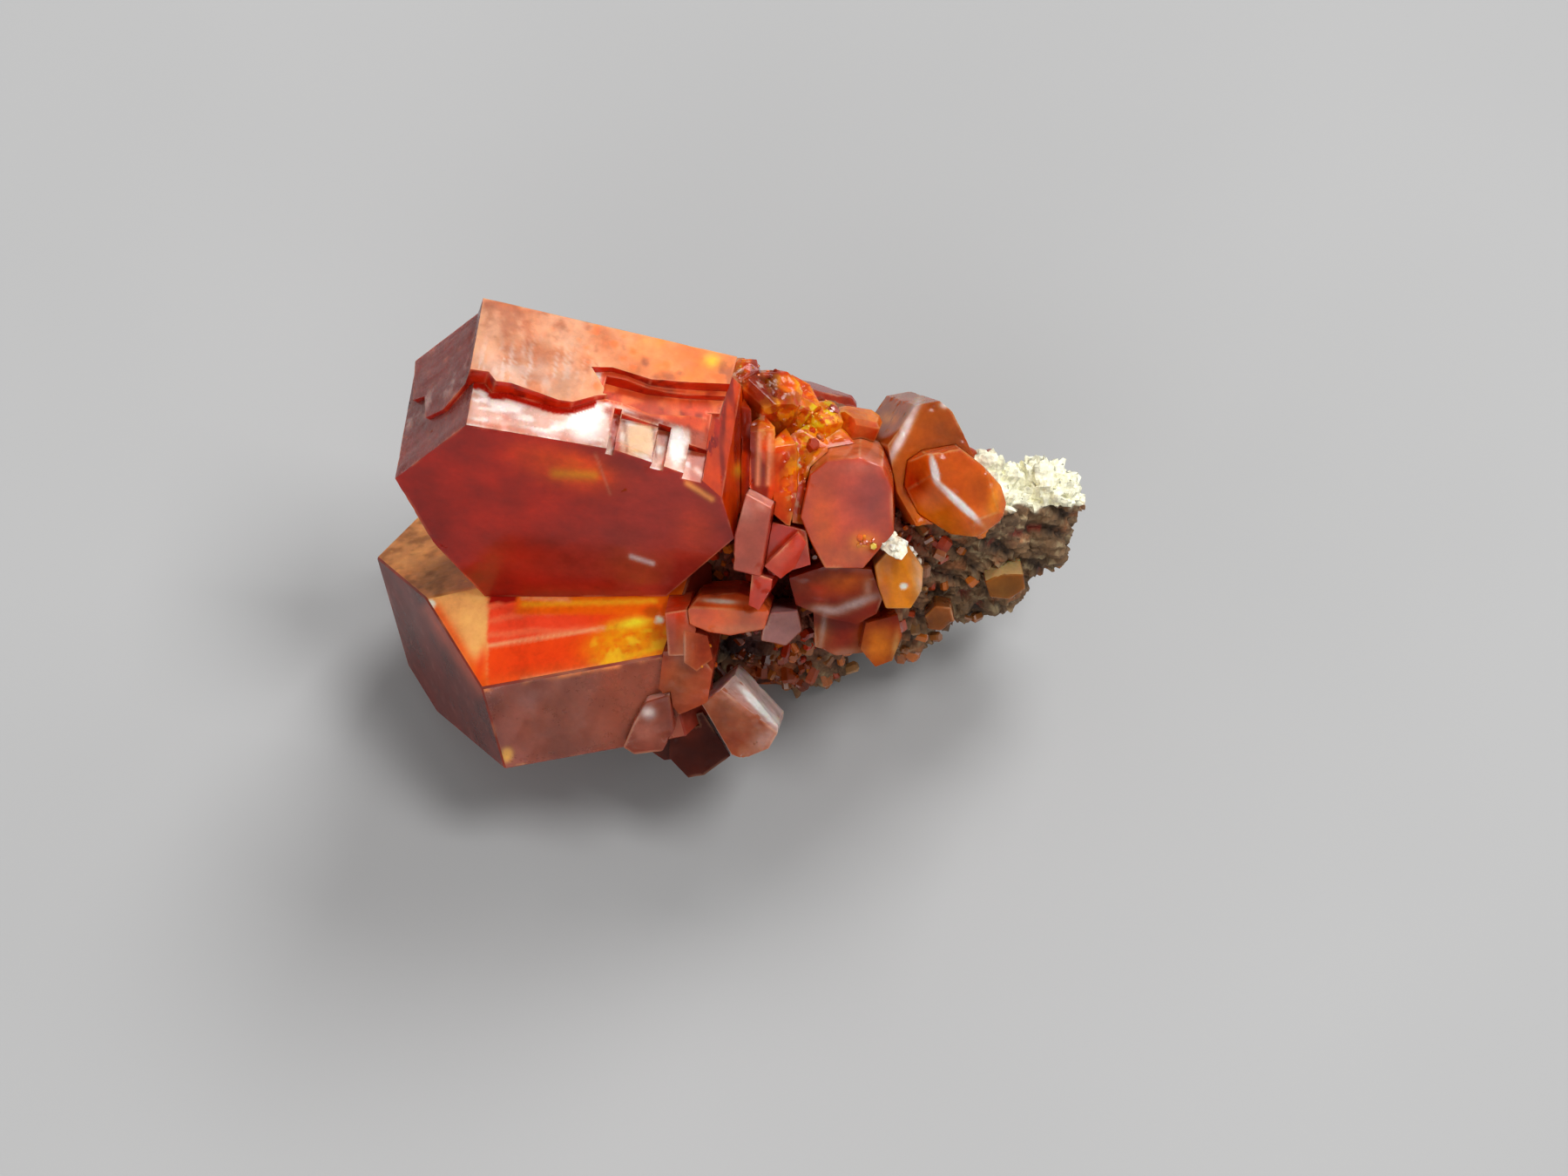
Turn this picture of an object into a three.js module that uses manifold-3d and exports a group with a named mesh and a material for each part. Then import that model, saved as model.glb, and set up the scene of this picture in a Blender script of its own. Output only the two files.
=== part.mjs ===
// Vanadinite on matrix: two thick hexagonal vanadinite crystals and a crowd of
// smaller ones, grown on a chip of brown rock with a pale crust.
// Millimetres, +Z up, origin under the middle of the specimen on the surface
// that it lies on.
import * as THREE from 'three';
import { ConvexGeometry } from 'three/addons/geometries/ConvexGeometry.js';
import { mergeVertices } from 'three/addons/utils/BufferGeometryUtils.js';
import Module from 'manifold-3d';

const wasm = await Module();
wasm.setup();

// ---------------------------------------------------------------- dimensions
const U = 0.02;             // mm in one working unit; every length below is in units
const GAP = 1.5;            // clearance left where one crystal is cut by its neighbour
const SHEET_TILT = 60;      // degrees between the working sheet's normal and the horizon
const SHEET_X = 837.34;       // working-sheet place of the origin
const SHEET_Y = -495.77;
const SHEET_FLOOR = 640;    // height of the sheet's corner over the table
const UPPER_THICKNESS = 156;     // large standing crystal, along its c axis
const STEP_HEIGHT = 26;          // growth step on its top prism face
const LOWER_BACK_WIDTH = 300;    // lower crystal, front prism face to back prism face
const LOWER_SIDE_WIDTH = 330;    // lower crystal, left prism face to right prism face
const PYRAMID_ANGLE = 39.4;      // pyramid face from the basal plane of vanadinite
const BASE_CUT = 0;              // the rock's broken, level underside

// ------------------------------------------------------------- working frame
// Points are laid out on an inclined sheet: x to the right, y down the sheet,
// z out of it. S() turns a sheet point into the specimen's own upright frame.
const st = Math.sin(THREE.MathUtils.degToRad(SHEET_TILT));
const ct = Math.cos(THREE.MathUtils.degToRad(SHEET_TILT));
const S = (x, y, z) => new THREE.Vector3(
  x - SHEET_X, -y * st - z * ct - SHEET_Y, -y * ct + z * st + SHEET_FLOOR);
const D = (x, up, z) => new THREE.Vector3(x, up * st - z * ct, up * ct + z * st);
const Wd = (x, y, z) => new THREE.Vector3(x - SHEET_X, y - SHEET_Y, z);

// ------------------------------------------------------------------ helpers
// Repeatable noise for the rock.
function hash(i, j, k) {
  let h = (i * 374761393 + j * 668265263 + k * 2147483647) | 0;
  h = Math.imul(h ^ (h >>> 13), 1274126177);
  return ((h ^ (h >>> 16)) >>> 0) / 4294967295;
}
function noise(x, y, z) {
  const i = Math.floor(x), j = Math.floor(y), k = Math.floor(z);
  const f = x - i, g = y - j, h = z - k;
  const s = (t) => t * t * (3 - 2 * t), u = s(f), v = s(g), w = s(h);
  const L = (a, b, t) => a + (b - a) * t;
  return L(
    L(L(hash(i, j, k), hash(i + 1, j, k), u), L(hash(i, j + 1, k), hash(i + 1, j + 1, k), u), v),
    L(L(hash(i, j, k + 1), hash(i + 1, j, k + 1), u), L(hash(i, j + 1, k + 1), hash(i + 1, j + 1, k + 1), u), v),
    w) * 2 - 1;
}
function solidOf(geometry) {
  const g = geometry.clone();
  for (const n of Object.keys(g.attributes)) if (n !== 'position') g.deleteAttribute(n);
  const m = mergeVertices(g, 1e-3);
  return new wasm.Manifold(new wasm.Mesh({
    numProp: 3,
    vertProperties: new Float32Array(m.attributes.position.array),
    triVerts: new Uint32Array(m.index.array),
  }));
}
function geometryOf(solid) {
  const m = solid.getMesh();
  const g = new THREE.BufferGeometry();
  const p = new Float32Array(m.vertProperties.length);
  for (let i = 0; i < p.length; i++) p[i] = m.vertProperties[i] * U;
  g.setAttribute('position', new THREE.BufferAttribute(p, 3));
  g.setIndex(new THREE.BufferAttribute(new Uint32Array(m.triVerts), 1));
  return g;
}
// A convex crystal from the planes of its faces: [normal, point on the face].
// grow moves every face outward.
function fromFaces(faces, grow = 0) {
  const pl = faces.map(([n, p]) => {
    const m = n.clone().normalize();
    return [m, m.dot(p) + grow];
  });
  const pts = [];
  for (let a = 0; a < pl.length; a++) for (let b = a + 1; b < pl.length; b++) for (let c = b + 1; c < pl.length; c++) {
    const [n1, d1] = pl[a], [n2, d2] = pl[b], [n3, d3] = pl[c];
    const n23 = n2.clone().cross(n3), det = n1.dot(n23);
    if (Math.abs(det) < 1e-6) continue;
    const p = n23.multiplyScalar(d1)
      .add(n3.clone().cross(n1).multiplyScalar(d2))
      .add(n1.clone().cross(n2).multiplyScalar(d3)).divideScalar(det);
    if (pl.every(([n, d]) => n.dot(p) <= d + 1e-4) && !pts.some((q) => q.distanceTo(p) < 0.05)) pts.push(p);
  }
  return solidOf(new ConvexGeometry(pts));
}
// The faces of a prism: a convex outline on a sloping plane, pushed along a
// direction. outline: [x, y] on the sheet; plane: normal and a point.
function prismFaces(outline, normal, point, back, extra = []) {
  const n = normal.clone().normalize();
  const out = D(0, 0, 1);                       // the sheet's own normal
  const on = outline.map(([x, y]) => {
    const p = S(x, y, 0);
    const k = n.dot(point.clone().sub(p)) / n.dot(out);
    return p.add(out.clone().multiplyScalar(k));
  });
  const mid = on.reduce((a, p) => a.add(p), new THREE.Vector3()).divideScalar(on.length);
  const faces = [[n, on[0]], [n.clone().negate(), on[0].clone().add(back)]];
  for (let i = 0; i < on.length; i++) {
    const e = on[(i + 1) % on.length].clone().sub(on[i]);
    const m = e.cross(back).normalize();
    if (m.dot(on[i].clone().sub(mid)) < 0) m.negate();
    faces.push([m, on[i]]);
  }
  return faces.concat(extra);
}
// The faces of a hexagonal crystal about its own axis.
function hexFaces(centre, axis, side, radii, up, down, pyramids = {}) {
  const c = axis.clone().normalize();
  const a = side.clone().addScaledVector(c, -side.dot(c)).normalize();
  const b = c.clone().cross(a);
  const faces = [[c, centre.clone().addScaledVector(c, up)], [c.clone().negate(), centre.clone().addScaledVector(c, -down)]];
  const t = THREE.MathUtils.degToRad(PYRAMID_ANGLE);
  for (let i = 0; i < 6; i++) {
    const w = (i * Math.PI) / 3;
    const m = a.clone().multiplyScalar(Math.cos(w)).addScaledVector(b, Math.sin(w));
    const r = Array.isArray(radii) ? radii[i] : radii;
    faces.push([m, centre.clone().addScaledVector(m, r)]);
    if (pyramids.top && pyramids.top[i]) {
      const q = c.clone().multiplyScalar(Math.cos(t)).addScaledVector(m, Math.sin(t));
      faces.push([q, centre.clone().addScaledVector(c, up).addScaledVector(m, r - pyramids.top[i])]);
    }
    if (pyramids.bottom && pyramids.bottom[i]) {
      const q = c.clone().multiplyScalar(-Math.cos(t)).addScaledVector(m, Math.sin(t));
      faces.push([q, centre.clone().addScaledVector(c, -down).addScaledVector(m, r - pyramids.bottom[i])]);
    }
  }
  return faces;
}
const V3 = (x, y, z) => new THREE.Vector3(x, y, z);
const FLOOR = [V3(0, 0, -1), V3(0, 0, 0)];     // nothing passes the table

// ------------------------------------------------- the two large crystals
// Standing crystal: c axis level, basal face to the front.
const frontN = D(-0.14, -0.825, 0.547);
const cBack = frontN.clone().negate();
const upperPoint = S(557, 685, -38.6);
const upperOutline = [[540, 490], [707, 518], [805, 551], [829, 572], [843, 618], [765, 684],
  [557, 685], [498, 622], [457, 550]];
const upperBack = cBack.clone().multiplyScalar(UPPER_THICKNESS);
const upperFaces = prismFaces(upperOutline, frontN, upperPoint, upperBack);

// Growth step: the rear of the top prism face stands STEP_HEIGHT higher, with a
// blocky front. Drawn in the top face's own plane: s along its front edge, t
// towards the back.
const topEdge = D(265, -61, -24).normalize();
const topN = topEdge.clone().cross(cBack).normalize();
const topOrigin = S(540, 490, 251);
function onTop(shapePoints, low, high) {
  const shape = new THREE.Shape(shapePoints.map(([s, t]) => new THREE.Vector2(s, t)));
  const g = new THREE.ExtrudeGeometry(shape, { depth: high - low, bevelEnabled: false, steps: 1 });
  const m = new THREE.Matrix4().makeBasis(topEdge, cBack, topN);
  m.setPosition(topOrigin.clone().addScaledVector(topN, low));
  g.applyMatrix4(m);
  return solidOf(g);
}
const stepBlock = onTop([[-9, 58], [12, 60], [22, 50], [40, 52], [96, 44], [112, 46], [138, 62], [150, 66],
  [126, 98], [150, 104], [196, 100], [240, 108], [285, 118], [288, UPPER_THICKNESS + 0.2], [-9, UPPER_THICKNESS + 0.2]], -30, STEP_HEIGHT);
const stepBlock2 = onTop([[160, 74], [214, 70], [246, 84], [282, 92], [288, UPPER_THICKNESS - 0.4], [160, UPPER_THICKNESS - 0.4]], -30, 10);
const notches = [
  onTop([[160, -8], [169, -8], [170, 56], [161, 56]], 6, 60),
  onTop([[169, 12], [214, 8], [215, 50], [170, 50]], 9, 60),
  onTop([[214, -10], [228, -12], [230, 54], [215, 54]], -2, 60),
  onTop([[252, -14], [276, -16], [276, 40], [253, 40]], -8, 60),
  onTop([[144, 66], [205, 62], [245, 76], [290, 86], [290, 112], [240, 101], [196, 95], [146, 97]], 1, 60),
];
// A narrow terrace runs down the left prism face from the step.
const leftEdge = D(83, 60, 112).normalize();
const leftN = leftEdge.clone().cross(cBack).normalize();
if (leftN.x > 0) leftN.negate();
function onLeft(points, low, high) {
  const shape = new THREE.Shape(points.map(([s, t]) => new THREE.Vector2(s, t)));
  const g = new THREE.ExtrudeGeometry(shape, { depth: high - low, bevelEnabled: false, steps: 1 });
  const m = new THREE.Matrix4().makeBasis(leftEdge, cBack, leftEdge.clone().cross(cBack));
  m.setPosition(S(457, 550, 139.4).addScaledVector(leftEdge.clone().cross(cBack), low));
  g.applyMatrix4(m);
  return solidOf(g);
}
const flip = leftEdge.clone().cross(cBack).dot(leftN) < 0 ? -1 : 1;
const leftTerrace = onLeft([[60, 52], [100, 44], [142, 58], [150, UPPER_THICKNESS + 0.1], [8, UPPER_THICKNESS + 0.1], [20, 96], [48, 88]],
  flip > 0 ? -20 : -6, flip > 0 ? 6 : 20);

// Lower crystal: c axis leaning back, pyramid face (lit) over its front prism
// face, basal plane behind it.
const lc = D(-0.238, 0.851, 0.468);
const ln2 = D(-0.8717, -0.3997, 0.2835);   // left prism face
const ln4 = D(-0.066, -0.495, 0.866);      // front prism face
const ln5 = ln2.clone().sub(ln4);          // left rear prism face
const pa = THREE.MathUtils.degToRad(PYRAMID_ANGLE);
const ln3 = lc.clone().multiplyScalar(Math.cos(pa)).addScaledVector(ln4, Math.sin(pa));
const R = S(553, 790, 0);
const lowerFaces = [
  [ln2, R], [ln4, R], [ln3, R],
  [D(-0.265, 0.835, 0.482), S(488, 687, -54.8)],                     // basal plane
  [lc.clone().negate(), S(579, 883, -51.1)],
  [ln5, S(429, 640, -170)],
  [ln5.clone().negate(), S(762, 752, 37)],
  [ln4.clone().negate(), R.clone().addScaledVector(ln4, -LOWER_BACK_WIDTH)],
  [ln2.clone().negate(), R.clone().addScaledVector(ln2, -LOWER_SIDE_WIDTH)],
  [lc.clone().multiplyScalar(-Math.cos(pa)).addScaledVector(ln5, Math.sin(pa)), S(468, 771, -234.8)],
  [lc.clone().multiplyScalar(-Math.cos(pa)).addScaledVector(ln4, -Math.sin(pa)),
    S(579, 883, -51.1).addScaledVector(ln4, -LOWER_BACK_WIDTH + 60)],
  [D(0.97, 0.05, -0.25), S(812, 740, -60)],                            // where it meets the rock
  FLOOR,
];

// ----------------------------------------------------------- small crystals
// Each entry: faces of one crystal. Those grown through each other are listed
// together and joined.
const dirBack = (x, up, z, l) => D(x, up, z).normalize().multiplyScalar(l);
const small = {
  // round six-sided plate that faces forward
  plate_crystal: [
    prismFaces([[930, 546], [950, 530], [986, 526], [1012, 537], [1023, 562], [1025, 612], [990, 652],
      [947, 652], [932, 625], [919, 594]], D(0.02, -0.22, 0.97), S(972, 590, 110), dirBack(0.02, 0.24, -0.96, 112)),
  ],
  // arched crystal behind the plate, and the rounded one leaning on it
  arched_crystal: [
    prismFaces([[1051, 466], [1078, 461], [1095, 475], [1107, 502], [1130, 548], [1112, 596], [1052, 604],
      [1030, 566], [1019, 512]], D(0.14, -0.02, 0.99), S(1060, 530, 44), dirBack(-0.27, 0.1, -0.95, 120)),
  ],
  lobe_crystal: [
    prismFaces([[1048, 534], [1064, 523], [1102, 516], [1130, 538], [1150, 560], [1156, 580], [1148, 600], [1124, 618],
      [1096, 617], [1060, 594], [1044, 562]], D(0.16, -0.02, 0.985), S(1098, 568, 88),
    dirBack(-0.12, 0.1, -0.98, 112),
    [[D(-0.5, -0.58, 0.64), S(1094, 573, 88.5)], [D(-0.8, 0.02, 0.6), S(1069, 540, 93.3)], [D(0.8, 0.2, 0.56), S(1147, 566, 70)],
      [D(0.35, -0.66, 0.66), S(1134, 602, 72)]]),
  ],
  // square-ended bar against the right of the large crystal
  bar_crystal: [
    prismFaces([[846, 562], [886, 584], [873, 662], [834, 652], [844, 616]], D(-0.12, -0.3, 0.945),
      S(860, 610, 168), dirBack(0.05, 0.1, -0.99, 112)),
  ],
  // two thin bars grown through each other in a V
  vee_crystal: [
    prismFaces([[878, 650], [916, 613], [925, 624], [912, 652], [896, 664]], D(0.1, -0.3, 0.95),
      S(900, 640, 122), dirBack(0.0, 0.14, -0.98, 120)),
    prismFaces([[864, 657], [886, 666], [885, 676], [871, 700], [860, 694]], D(-0.2, -0.3, 0.93),
      S(872, 680, 112), dirBack(0.1, 0.14, -0.98, 120)),
    prismFaces([[884, 600], [925, 610], [930, 648], [884, 662], [876, 640]], D(0.0, -0.2, 0.98),
      S(905, 630, 100), dirBack(0.0, 0.1, -0.98, 110)),
  ],
  // fat rounded tablet below the large crystal's right end
  tablet_crystal: [
    prismFaces([[790, 700], [803, 686], [846, 684], [872, 690], [883, 703], [877, 722], [838, 729], [813, 725], [792, 716]],
      D(-0.05, -0.28, 0.96), S(836, 706, 74), dirBack(0.05, 0.16, -0.97, 112),
      [[D(0.0, 0.62, 0.78), S(836, 694, 72)]]),
  ],
  mauve_crystal: [
    prismFaces([[880, 704], [915, 702], [920, 724], [902, 741], [874, 735]], D(0.1, -0.35, 0.93),
      S(898, 722, 40), dirBack(0, 0.14, -0.98, 130)),
  ],
  // group on the lower crystal's right side
  side_crystal_group: [
    prismFaces([[764, 704], [790, 700], [799, 722], [792, 752], [768, 752]], D(0.1, -0.25, 0.96),
      S(778, 728, 62), dirBack(0.08, 0.35, -0.93, 88)),
    prismFaces([[762, 748], [797, 744], [818, 770], [812, 806], [780, 820], [757, 790]], D(-0.05, -0.42, 0.9),
      S(786, 780, 34), dirBack(0.1, 0.45, -0.88, 110)),
    prismFaces([[786, 724], [812, 730], [818, 756], [800, 770], [786, 760]], D(0.2, -0.2, 0.96),
      S(800, 745, 56), dirBack(0.0, 0.35, -0.93, 96)),
  ],
  // crystal with a bright corner at the lower crystal's lower right
  corner_crystal: [
    prismFaces([[742, 806], [768, 798], [774, 838], [760, 862], [728, 866], [716, 858], [728, 830]],
      D(-0.1, -0.4, 0.91), S(745, 834, 14), dirBack(0.1, 0.42, -0.9, 92)),
  ],
  // block with a pale upper edge, pointing right
  block_crystal: [
    prismFaces([[806, 808], [842, 780], [853, 792], [893, 832], [892, 842], [882, 859], [853, 871], [840, 866]],
      D(-0.1, -0.42, 0.9), S(850, 830, 12), dirBack(0.06, 0.16, -0.97, 110),
      [[D(0.55, 0.5, 0.67), S(872, 812, 6)]]),
  ],
  // dark crystals underneath, one of the feet that the specimen stands on
  foot_crystal_group: [
    prismFaces([[718, 860], [764, 824], [792, 838], [800, 872], [791, 893], [762, 873], [738, 876]],
      D(-0.1, -0.55, 0.83), S(764, 862, -60), dirBack(0.05, 0.3, -0.95, 210), [FLOOR]),
    prismFaces([[770, 826], [806, 818], [838, 868], [808, 890], [790, 893], [768, 870]],
      D(0.1, -0.5, 0.86), S(800, 860, -46), dirBack(0.0, 0.26, -0.96, 216), [FLOOR]),
  ],
  // amber crystal with a blunt point, under the plate's right corner
  amber_crystal: [
    prismFaces([[1004, 650], [1018, 634], [1042, 628], [1060, 655], [1058, 677], [1045, 698], [1017, 698], [1008, 672]],
      D(0.12, -0.3, 0.95), S(1034, 664, 60), dirBack(-0.05, 0.12, -0.98, 130),
      [[D(0.72, 0.1, 0.69), S(1050, 656, 52)]]),
  ],
  // dark red crystals under the plate
  under_plate_group: [
    prismFaces([[906, 664], [948, 650], [1000, 654], [1012, 688], [1006, 704], [984, 716], [946, 708], [914, 694]],
      D(0.0, -0.45, 0.89), S(960, 684, 40), dirBack(0.0, 0.16, -0.97, 130)),
    prismFaces([[934, 702], [1008, 700], [1016, 722], [1000, 748], [960, 752], [936, 742]], D(0.05, -0.5, 0.86),
      S(975, 726, -4), dirBack(0.0, 0.18, -0.97, 120)),
    prismFaces([[994, 716], [1030, 706], [1035, 730], [1024, 758], [1005, 765], [988, 745]], D(0.2, -0.45, 0.87),
      S(1012, 736, 8), dirBack(-0.1, 0.18, -0.97, 110)),
  ],
  // lens-shaped crystal on the rock's lower edge
  edge_crystal: [
    prismFaces([[1132, 668], [1150, 659], [1176, 660], [1178, 676], [1160, 688], [1138, 686]], D(0.3, -0.45, 0.84),
      S(1155, 672, -92), dirBack(-0.1, 0.5, -0.86, 46)),
  ],
  edge_crystal_small: [
    prismFaces([[1062, 708], [1074, 696], [1092, 698], [1096, 714], [1080, 724], [1066, 722]], D(0.1, -0.5, 0.86),
      S(1080, 710, -62), dirBack(0, 0.2, -0.97, 60)),
  ],
  // pale grain of crust stuck to the amber crystal's shoulder
  pale_grain: [
    prismFaces([[1010, 628], [1014, 612], [1024, 617], [1037, 620], [1041, 634], [1034, 643], [1020, 637]],
      D(-0.1, 0.3, 0.95), S(1026, 628, 88), dirBack(0, 0.1, -1, 44)),
  ],
  // ridge: columns grown side by side and through each other
  ridge_crystal_group: [
    // blocky crystals along the crest
    hexFaces(S(880, 462, 84), D(0.3, 0.62, 0.72), D(1, -0.3, 0), [34, 28, 30, 36, 30, 28], 30, 90, { top: [8, 0, 12, 6, 9, 0] }),
    hexFaces(S(852, 448, 78), D(-0.28, 0.8, 0.52), D(1, 0.2, 0), [26, 22, 24, 26, 22, 24], 34, 80, { top: [8, 10, 0, 8, 0, 10] }),
    hexFaces(S(908, 470, 60), D(0.5, 0.7, 0.5), D(0.6, -0.6, 0.2), [26, 22, 24, 24, 22, 26], 30, 80, { top: [0, 9, 7, 0, 10, 6] }),
    hexFaces(S(936, 494, 48), D(0.3, 0.8, 0.5), D(1, 0, -0.2), [24, 22, 20, 24, 20, 22], 30, 80, { top: [8, 0, 8, 6, 0, 8] }),
    hexFaces(S(978, 500, 14), D(0.35, 0.84, 0.4), D(1, -0.4, 0), [26, 22, 22, 26, 22, 22], 30, 80, { top: [6, 0, 10, 8, 0, 6] }),
    // columns below them, side by side
    prismFaces([[826, 462], [844, 446], [862, 472], [864, 556], [852, 592], [830, 566]], D(-0.25, -0.1, 0.96),
      S(846, 520, 112), dirBack(0.05, 0.05, -1, 120), [[D(0.1, 0.75, 0.66), S(844, 462, 112)]]),
    prismFaces([[862, 488], [876, 478], [889, 492], [890, 562], [876, 604], [860, 590]], D(0.12, -0.12, 0.985),
      S(875, 530, 122), dirBack(0, 0.05, -1, 120), [[D(0.0, 0.7, 0.71), S(876, 492, 122)]]),
    prismFaces([[888, 506], [902, 494], [914, 512], [915, 566], [906, 606], [888, 590]], D(0.3, -0.1, 0.95),
      S(900, 545, 112), dirBack(0, 0.05, -1, 120), [[D(0.1, 0.7, 0.7), S(902, 508, 110)]]),
    prismFaces([[908, 500], [930, 486], [950, 508], [948, 552], [934, 604], [910, 600]], D(0.15, 0.1, 0.98),
      S(928, 540, 88), dirBack(0, 0.05, -1, 110), [[D(0.4, 0.55, 0.73), S(936, 505, 84)]]),
    prismFaces([[944, 500], [962, 490], [980, 508], [980, 540], [950, 560]], D(0.2, 0.25, 0.95),
      S(962, 520, 66), dirBack(0, 0.05, -1, 100)),
  ],
};

// crystals on the far side
const rear = {
  rear_crystal_a: [hexFaces(Wd(930, -345, 250), V3(0.25, 0.75, 0.6), V3(1, 0, 0), [44, 36, 40, 44, 38, 40], 52, 52, { top: [8, 14, 6, 12, 8, 10] })],
  rear_crystal_b: [hexFaces(Wd(815, -300, 190), V3(-0.35, 0.85, 0.4), V3(1, 0, 0.3), [50, 42, 46, 50, 44, 42], 46, 50, { top: [10, 6, 12, 8, 10, 6] }),
    hexFaces(Wd(770, -300, 130), V3(0.3, 0.9, 0.25), V3(0.2, 0, 1), [36, 30, 32, 36, 30, 30], 42, 44, { top: [8, 6, 8, 10, 6, 6] })],
  rear_crystal_c: [hexFaces(Wd(1050, -372, 205), V3(0.45, 0.8, 0.45), V3(0, 0.2, 1), [34, 28, 30, 34, 30, 28], 38, 44, { top: [6, 8, 6, 8, 6, 8] })],
};

// ------------------------------------------------------------------ the rock
// Lumps with a broken, pitted surface, joined and cut level underneath.
function lump(cx, cy, cz, hx, hy, hz, detail, seed, power = 2.6) {
  const g = new THREE.IcosahedronGeometry(1, detail);
  const p = g.attributes.position;
  const v = new THREE.Vector3();
  for (let i = 0; i < p.count; i++) {
    v.fromBufferAttribute(p, i);
    const k = Math.pow(Math.abs(v.x) ** power + Math.abs(v.y) ** power + Math.abs(v.z) ** power, -1 / power);
    const q = v.clone().multiplyScalar(k);
    q.set(q.x * hx, q.y * hy, q.z * hz);
    const a = noise((q.x + seed * 31) / 52, q.y / 52, q.z / 52) * 17 + noise((q.x - seed * 17) / 20, q.y / 20, q.z / 20) * 7;
    q.addScaledVector(v, a);
    q.set(Math.round((q.x + cx) * 64) / 64, Math.round((q.y + cy) * 64) / 64, Math.round((q.z + cz) * 64) / 64);
    p.setXYZ(i, q.x, q.y, q.z);
  }
  return solidOf(g);
}
const L = (x, y, z, ...rest) => { const w = Wd(x, y, z); return lump(w.x, w.y, w.z, ...rest); };
let rock = L(1180, -444, 220, 58, 42, 80, 4, 1, 3)
  .add(L(1092, -454, 200, 94, 66, 132, 5, 2, 3.2))
  .add(L(988, -474, 212, 100, 88, 166, 6, 3, 3))
  .add(L(884, -468, 200, 100, 98, 226, 6, 4, 3.4))
  .add(L(760, -384, 140, 128, 92, 190, 6, 5, 3.6))
  .add(L(630, -404, 60, 112, 104, 92, 5, 6, 3.2));
const box = (x0, y0, z0, x1, y1, z1) => {
  const g = new THREE.BoxGeometry(x1 - x0, y1 - y0, z1 - z0);
  g.translate((x0 + x1) / 2, (y0 + y1) / 2, (z0 + z1) / 2);
  return solidOf(g);
};
rock = rock.subtract(box(-2000, -2000, -2000, 2000, 2000, BASE_CUT));

// ----------------------------------------------------- cut to fit each other
const union = (list, grow) => list.map((f) => fromFaces(f, grow)).reduce((a, b) => a.add(b));
const done = [];            // [name, solid, grown solid]
function settle(name, solid, grown) {
  let s = solid;
  for (const [, , other] of done) s = s.subtract(other);
  done.push([name, s, grown]);
}
const lower = fromFaces(lowerFaces), lowerGrown = fromFaces(lowerFaces, GAP);
settle('lower_large_crystal', lower, lowerGrown);
let upper = fromFaces(upperFaces).add(stepBlock2).add(stepBlock).add(leftTerrace);
for (const n of notches) upper = upper.subtract(n);
const upperGrown = fromFaces(upperFaces, STEP_HEIGHT + GAP).intersect(fromFaces(upperFaces, 0).add(stepBlock).add(leftTerrace)
  .add(fromFaces(upperFaces, GAP)).add(stepBlock.translate([0, 0, GAP])).add(stepBlock.translate([GAP, 0, 0])).add(leftTerrace.translate([-GAP, 0, 0])));
settle('upper_large_crystal', upper, upperGrown);
const order = ['bar_crystal', 'plate_crystal', 'lobe_crystal', 'arched_crystal', 'tablet_crystal', 'amber_crystal',
  'vee_crystal', 'block_crystal', 'corner_crystal', 'side_crystal_group', 'foot_crystal_group', 'mauve_crystal',
  'under_plate_group', 'pale_grain', 'ridge_crystal_group', 'edge_crystal', 'edge_crystal_small'];
for (const name of order) settle(name, union(small[name], 0), union(small[name], GAP));
for (const name of Object.keys(rear)) settle(name, union(rear[name], 0), union(rear[name], GAP));
settle('matrix_rock', rock, rock);

// A cut can free a splinter; only the largest body of each piece is kept.
function largest(s) {
  const parts = s.decompose();
  return parts.reduce((a, b) => (b.volume() > a.volume() ? b : a));
}

const looks = {
  matrix_rock: [0x8c785f, 0.9],
  upper_large_crystal: [0x9a2f25, 0.18],
  lower_large_crystal: [0x8e3a2c, 0.2],
  plate_crystal: [0xb04a3a, 0.2],
  arched_crystal: [0xa8481f, 0.2],
  lobe_crystal: [0xc4581f, 0.2],
  bar_crystal: [0xa0524e, 0.2],
  vee_crystal: [0x9c2a1a, 0.2],
  tablet_crystal: [0xc05a3a, 0.2],
  mauve_crystal: [0x8a5a58, 0.25],
  side_crystal_group: [0x9a3020, 0.2],
  corner_crystal: [0x8e4440, 0.2],
  block_crystal: [0xa2503e, 0.2],
  foot_crystal_group: [0x6c2420, 0.2],
  amber_crystal: [0xc26a18, 0.2],
  under_plate_group: [0x8c2a14, 0.2],
  ridge_crystal_group: [0xc2561a, 0.2],
  edge_crystal: [0x9a6430, 0.3],
  edge_crystal_small: [0x8e5a2c, 0.3],
  pale_grain: [0xe8dfc0, 0.8],
};
const group = new THREE.Group();
for (const [name, solid] of done) {
  const body = largest(solid);
  const [colour, rough] = looks[name] || [0xa84a24, 0.22];
  const mesh = new THREE.Mesh(geometryOf(body),
    new THREE.MeshStandardMaterial({ color: colour, roughness: rough, metalness: 0 }));
  mesh.name = name;
  group.add(mesh);
}
export default group;
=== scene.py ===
import math

import bmesh
import bpy
import numpy as np
from mathutils import Matrix, Vector


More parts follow.
